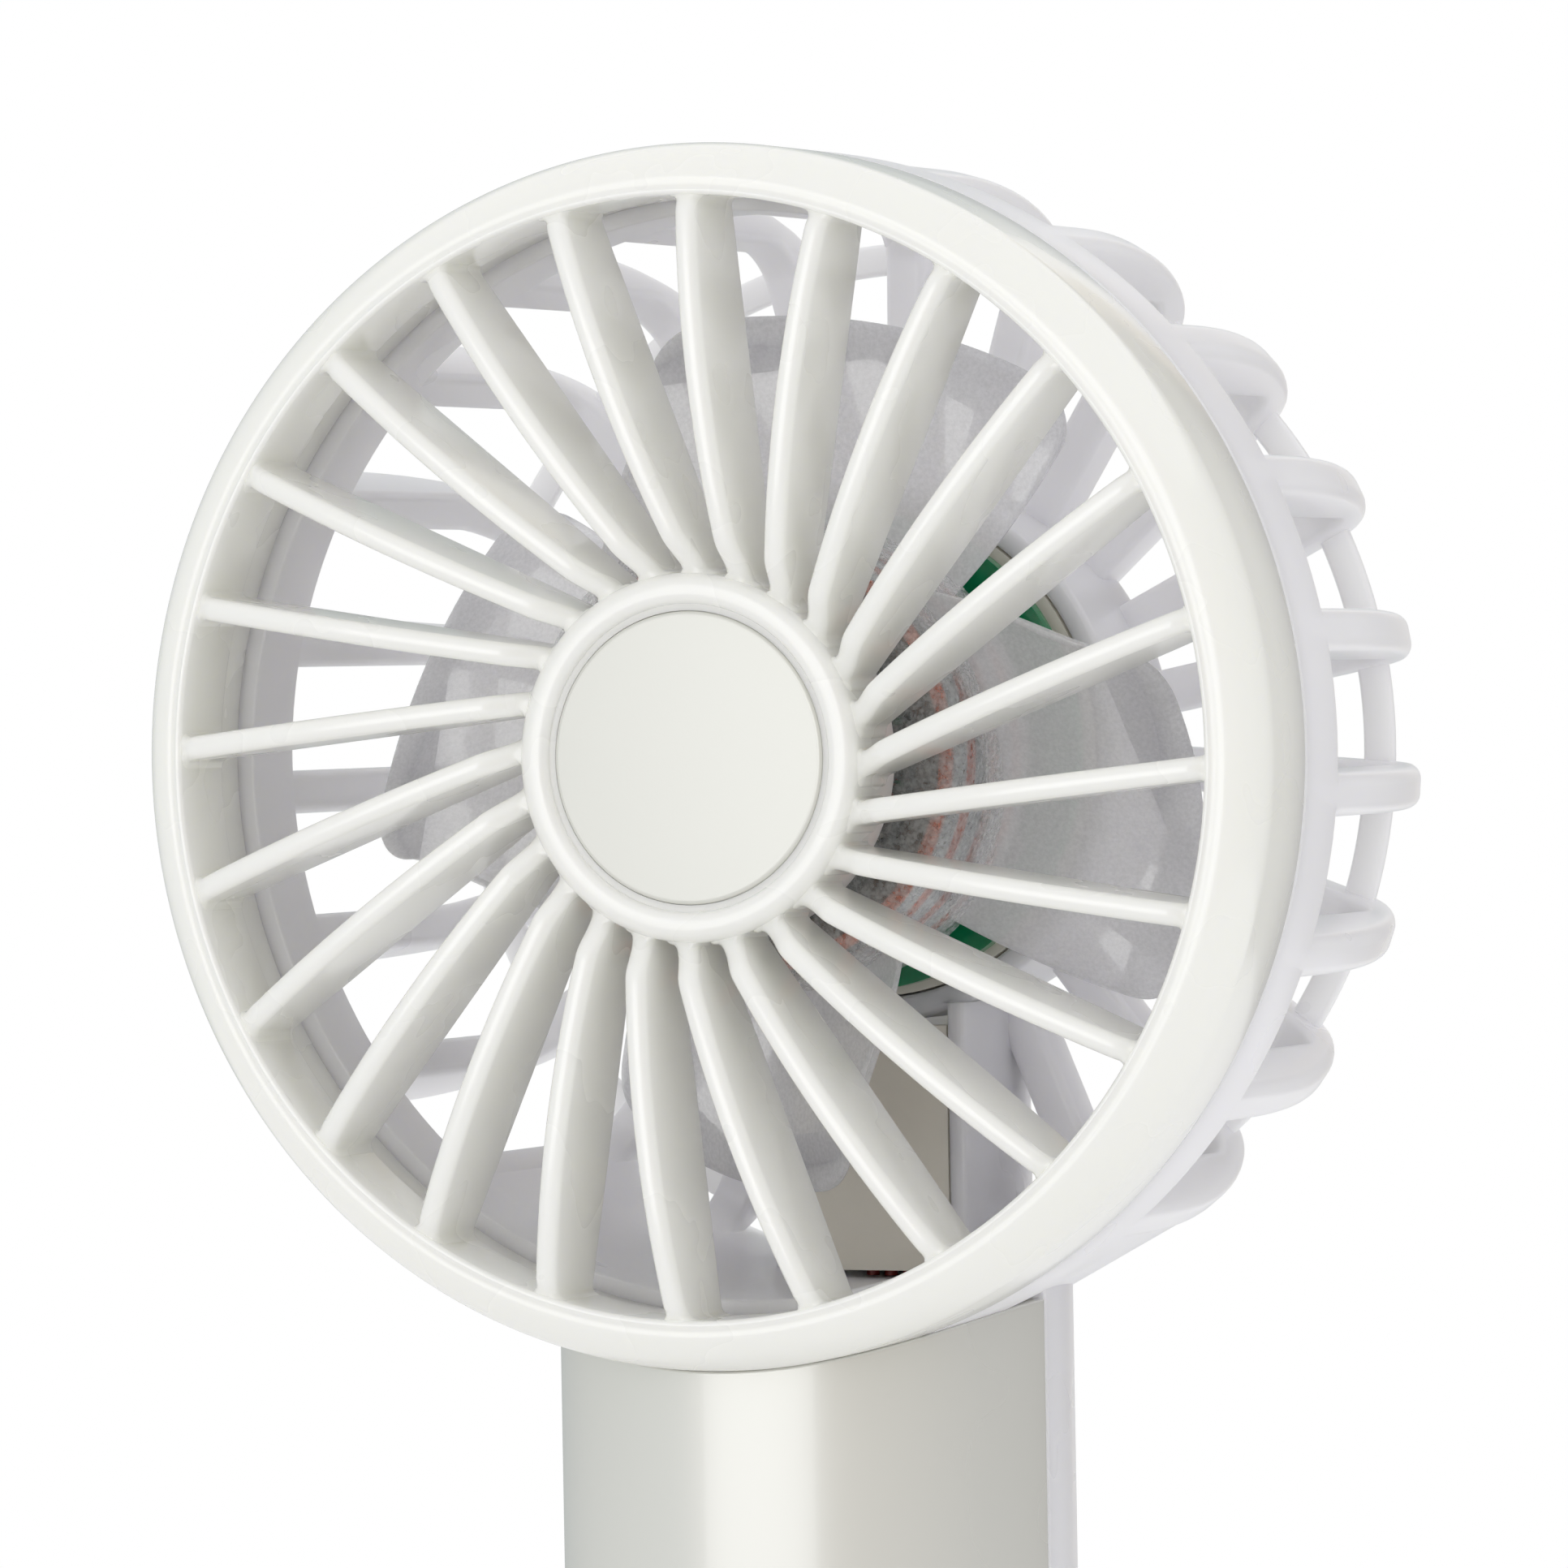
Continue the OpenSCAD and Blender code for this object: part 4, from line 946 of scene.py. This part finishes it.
def aboutButton(radius, angle, along):
    # (radius, angle) about the button's axis, which lies along y: x = r cos a, z = middle + r sin a
    return np.stack(np.broadcast_arrays(radius * np.cos(angle), along, buttonZ + radius * np.sin(angle)), -1)


def buttonProfile(spec):
    # dished face: y = face + dish (1 - (r / R)^2)^2, then the rounded edge, the skirt and the flange
    r = handle["buttonRadius"]
    edge = r - spec["edgeRound"]
    rs = np.linspace(0, edge, 24)
    face = np.stack([rs, spec["face"] + spec["dish"] * (1 - (rs / edge) ** 2) ** 2], 1)
    step = spec["back"] - spec["flangeThickness"]
    rest = roundPath([(0, spec["back"], 0), (edge, spec["face"], 0), (r, spec["face"], spec["edgeRound"]),
                      (r, step, 0),
                      (spec["flange"], step, 0.2), (spec["flange"], spec["back"], 0.2)], 6)[2:]
    return np.concatenate([face, rest, [[0, spec["back"]]]])


buildPiece("powerButton", [[sheet(revolve(buttonProfile(button), aboutButton, 128), True, True)]], discPearl,
           "button", ["power_button"])
print("handle built")

impeller = {
    "blades": 4,
    "tip": 32.4,
    "thickness": 1.1,
    "front": 12.6,
    "back": 29.6,
    "chord": 54.0,         # degrees covered by a blade at its tip
    "sweep": 32.0,
    "lead": 15.0,
    "hubRadius": 17.6,
    "hubFront": 10.6,
    "hubBack": 23.2,
    "hubWall": 1.6,
    "hubRound": 1.6,
    "bossRadius": 3.0,
    "bossBack": 12.9,
    "cornerCut": 4.2,      # rounding of a blade's tip corners
    "cornerShare": 0.16,   # over this share of its chord at each end
    "rootSunk": 0.8,       # the blades start this far inside the hub's wall
    "rootSpread": 8.0,     # degrees that the chord grows towards the hub, behind
    "rootTwist": 1.6,
    "camber": 0.42,
}


def bladeGrid(spec, side):
    # u runs from the front to the rear edge and v from hub to tip. Angle = lead(v) + (trail(v) - lead(v)) u,
    # depth = front + (back(v) - front) u (1 + c - c u); half thickness = t / 2 sqrt(1 - x^2) within t of the
    # edges
    ease = (1 - np.cos(np.linspace(0, math.pi, 80))) / 2
    u, v = ease[:, None], (0.5 * ease[::2] + 0.5 * np.linspace(0, 1, 40))[None, :]
    lead = spec["lead"] + spec["sweep"] * (1 - v) ** spec["rootTwist"]
    trail = spec["lead"] - spec["chord"] - spec["rootSpread"] * (1 - v)
    rootBack = spec["hubBack"] - spec["rootSunk"]
    back = spec["back"] - (spec["back"] - rootBack) * (1 - v)
    depth = spec["front"] + (back - spec["front"]) * u * (1 + spec["camber"] * (1 - u))
    e = np.minimum(1, np.minimum(u, 1 - u) / spec["cornerShare"])
    cut = spec["cornerCut"] * (1 - np.sqrt(1 - (1 - e) ** 2))
    root = spec["hubRadius"] - spec["rootSunk"]
    radius = root + (spec["tip"] - cut - root) * v
    angle = np.radians(lead + (trail - lead) * u)
    t = spec["thickness"]
    chord = 0.9 * radius * np.radians(lead - trail)
    near = np.minimum(np.minimum(u, 1 - u) * chord, (1 - v) * (spec["tip"] - root))
    x = np.clip(1 - near / (0.6 * t), 0, 1)
    swell = t / 2 * np.sqrt(1 - x ** 2)
    place = (radius * np.cos(angle), depth + side * swell, radius * np.sin(angle))
    return np.stack(np.broadcast_arrays(*place), -1)


def bladeSheets(spec):
    # both faces share their outer border, so merging the points closes the blade; capped rows close its root
    front, back = bladeGrid(spec, -1), bladeGrid(spec, 1)
    ring = np.concatenate([front, back[::-1]])
    return turnCopies(capEnds(ring.transpose(1, 0, 2)),
                      np.radians(np.arange(spec["blades"]) * 360 / spec["blades"]))


buildPiece("impellerBlades", [bladeSheets(impeller)], bladePc, "rotor", ["impeller"])


def rotorProfile(spec):
    # a cup, open to the rear, with a boss for the shaft: front face, rim, inside wall, floor and boss
    r, front, back, wall = spec["hubRadius"], spec["hubFront"], spec["hubBack"], spec["hubWall"]
    boss, end = spec["bossRadius"], spec["bossBack"]
    return roundPath([(0, front, 0), (r, front, spec["hubRound"]), (r, back, 0.3), (r - wall, back, 0.3),
                      (r - wall, front + wall, 0.8), (boss, front + wall, 0.3), (boss, end, 0.3),
                      (0, end, 0)], 8)


buildPiece("impellerHub", [[sheet(revolve(rotorProfile(impeller), aboutFan), True, True)]], hubPc, "rotor",
           ["impeller"])
print("impeller built")

finishes = [
    (nylonCream, ["channel_cover", "motor_base", "stator_bobbins", "battery_cradle", "switch_plunger"]),
    (steelBanded, ["rotor_yoke"]),
    (steelPlated, ["motor_shaft", "shaft_clip", "motor_screws", "board_screws", "battery_tabs",
                   "usb_socket"]),
    (steelLaminated, ["stator_core"]),
    (magnetFerrite, ["magnet_ring"]),
    (copperWound, ["stator_coils"]),
    (bronzeSintered, ["front_bearing", "rear_bearing"]),
    (boardEpoxy, ["motor_board", "control_board", "charge_board"]),
    (wirePvc, ["motor_wires"]),
    (sleevePet, ["battery_cell"]),
    (chipEpoxy, ["control_chips", "tact_switch"]),
    (lampPc, ["indicator_leds", "light_pipe"]),
]
for finish, names in finishes:
    for name in names:
        nodes[name].data.materials.clear()
        nodes[name].data.materials.append(finish)
print("frame nodes finished")

studio = {
    "ambient": 0.92,
    "keyAzimuth": -3.0,    # degrees to the fan's right of straight in front of it
    "keySpread": 25.0,     # half the angle that the soft box covers, seen from the fan
    "keyDistance": 1.3,    # metres
    "keyHeight": 1.1,
    "keyLift": 0.15,
    "keyRadiance": 1.6,    # seen in reflections only
    "fills": [(-3.0, 0.22), (34.0, 0.1)],  # azimuth and radiance of the lamps that light the surfaces
    # grey cards seen in reflections only: between two angles their brightness fades from near to far
    "cards": [
        {"from": 24.0, "to": 100.0, "near": 0.65, "far": 0.1, "end": 185.0, "tint": "FFF0D8"},
        {"from": -36.0, "to": -120.0, "near": 0.95, "far": 0.5, "end": -170.0, "tint": "F2FBFA"},
    ],
}


def whiteWorld(spec):
    # lights the object evenly, and is plain white to the eye, in reflections and through clear pieces
    world = bpy.data.worlds.new("studio")
    world.use_nodes = True
    tree = world.node_tree
    tree.nodes.clear()
    path = addNode(tree, "ShaderNodeLightPath")
    either = addNode(tree, "ShaderNodeMath", {"operation": "MAXIMUM"},
                     {0: path.outputs["Is Camera Ray"], 1: path.outputs["Is Glossy Ray"]})
    seen = addNode(tree, "ShaderNodeMath", {"operation": "MAXIMUM"},
                   {0: either.outputs[0], 1: path.outputs["Is Transmission Ray"]})
    level = addNode(tree, "ShaderNodeMapRange", {1: 0.0, 2: 1.0, 3: spec["ambient"], 4: 1.0},
                    {0: seen.outputs[0]})
    glow = addNode(tree, "ShaderNodeBackground", {"Color": (1, 1, 1, 1)}, {"Strength": level.outputs[0]})
    addNode(tree, "ShaderNodeOutputWorld", {}, {"Surface": glow.outputs[0]})
    bpy.context.scene.world = world


def softBox(name, azimuth, spread, distance, height, lift, radiance, mirrored):
    # upright rectangle facing the head; width = 2 d tan(spread); the power for a radiance L is L pi A
    width = 2 * distance * math.tan(math.radians(spread))
    data = bpy.data.lights.new(name, "AREA")
    data.shape = "RECTANGLE"
    data.size, data.size_y = width, height
    data.energy = radiance * math.pi * width * height
    lamp = bpy.data.objects.new(name, data)
    lamp.visible_camera = False
    lamp.visible_glossy, lamp.visible_diffuse = mirrored, not mirrored
    a = math.radians(azimuth)
    target = Vector((0, 0, head["axisZ"] * mm))
    lamp.location = target + Vector((math.sin(a) * distance, -math.cos(a) * distance, lift))
    lamp.rotation_euler = (target + Vector((0, 0, lift)) - lamp.location).to_track_quat("-Z", "Y").to_euler()
    bpy.context.scene.collection.objects.link(lamp)


def greyCard(name, spec, distance=1.5, half=1.2):
    # upright part of a cylinder round the fan: (D sin a, -D cos a, z), whose glow fades with a = atan2(x, -y)
    angles = np.radians(np.linspace(spec["from"], spec["end"], 40))[:, None]
    heights = np.linspace(-half, half, 3)[None, :]
    grid = np.stack(np.broadcast_arrays(distance * np.sin(angles), -distance * np.cos(angles), heights), -1)
    points, faces = sheet(grid)
    mesh = bpy.data.meshes.new(name)
    mesh.from_pydata(points, [], faces.tolist())
    card = bpy.data.objects.new(name, mesh)
    bpy.context.scene.collection.objects.link(card)
    material, tree = newMaterial("card_" + name)
    place = addNode(tree, "ShaderNodeTexCoord").outputs["Object"]
    parts = addNode(tree, "ShaderNodeSeparateXYZ", {}, {0: place})
    back = addNode(tree, "ShaderNodeMath", {"operation": "MULTIPLY", 1: -1.0}, {0: parts.outputs["Y"]})
    angle = addNode(tree, "ShaderNodeMath", {"operation": "ARCTAN2"},
                    {0: parts.outputs["X"], 1: back.outputs[0]})
    level = addNode(tree, "ShaderNodeMapRange", {1: math.radians(spec["from"]), 2: math.radians(spec["to"]),
                                                 3: spec["near"], 4: spec["far"]}, {0: angle.outputs[0]})
    light = addNode(tree, "ShaderNodeEmission", {"Color": linear(spec["tint"])},
                    {"Strength": level.outputs[0]})
    addNode(tree, "ShaderNodeOutputMaterial", {}, {"Surface": light.outputs[0]})
    mesh.materials.append(material)
    card.visible_camera = card.visible_diffuse = card.visible_transmission = card.visible_shadow = False


def paleFloor():
    # white floor that keeps the shadow near the object and fades to plain white at its rim
    size, fade = 0.55, 0.5
    mesh = bpy.data.meshes.new("floor")
    angles = np.arange(96) * 2 * math.pi / 96
    rim = np.stack([size * np.cos(angles), size * np.sin(angles), 0 * angles], 1)
    mesh.from_pydata(rim, [], [list(range(96))])
    floor = bpy.data.objects.new("floor", mesh)
    bpy.context.scene.collection.objects.link(floor)
    material, tree = newMaterial("paper_white_matt")
    place = addNode(tree, "ShaderNodeTexCoord").outputs["Object"]
    away = addNode(tree, "ShaderNodeVectorMath", {"operation": "LENGTH"}, {0: place})
    share = addNode(tree, "ShaderNodeMapRange", {1: 0.12, 2: fade, 3: 0.0, 4: 1.0,
                                                 "interpolation_type": "SMOOTHSTEP"},
                    {0: away.outputs["Value"]})
    matt = addNode(tree, "ShaderNodeBsdfDiffuse", {"Color": (0.93, 0.93, 0.93, 1)})
    path = addNode(tree, "ShaderNodeLightPath")
    light = addNode(tree, "ShaderNodeEmission", {"Strength": 1.0})
    seen = addNode(tree, "ShaderNodeMath", {"operation": "MULTIPLY"},
                   {0: share.outputs[0], 1: path.outputs["Is Camera Ray"]})
    mix = addNode(tree, "ShaderNodeMixShader", {}, {0: seen.outputs[0], 1: matt.outputs[0],
                                                    2: light.outputs[0]})
    addNode(tree, "ShaderNodeOutputMaterial", {}, {"Surface": mix.outputs[0]})
    mesh.materials.append(material)


whiteWorld(studio)
softBox("key", studio["keyAzimuth"], studio["keySpread"], studio["keyDistance"], studio["keyHeight"],
        studio["keyLift"], studio["keyRadiance"], True)
for azimuth, radiance in studio["fills"]:
    softBox("fill", azimuth, studio["keySpread"], studio["keyDistance"], studio["keyHeight"],
            studio["keyLift"], radiance, False)
greyCard("right", studio["cards"][0])
greyCard("left", studio["cards"][1])
paleFloor()
bpy.context.scene.view_settings.view_transform = "Standard"
print("light and floor set")
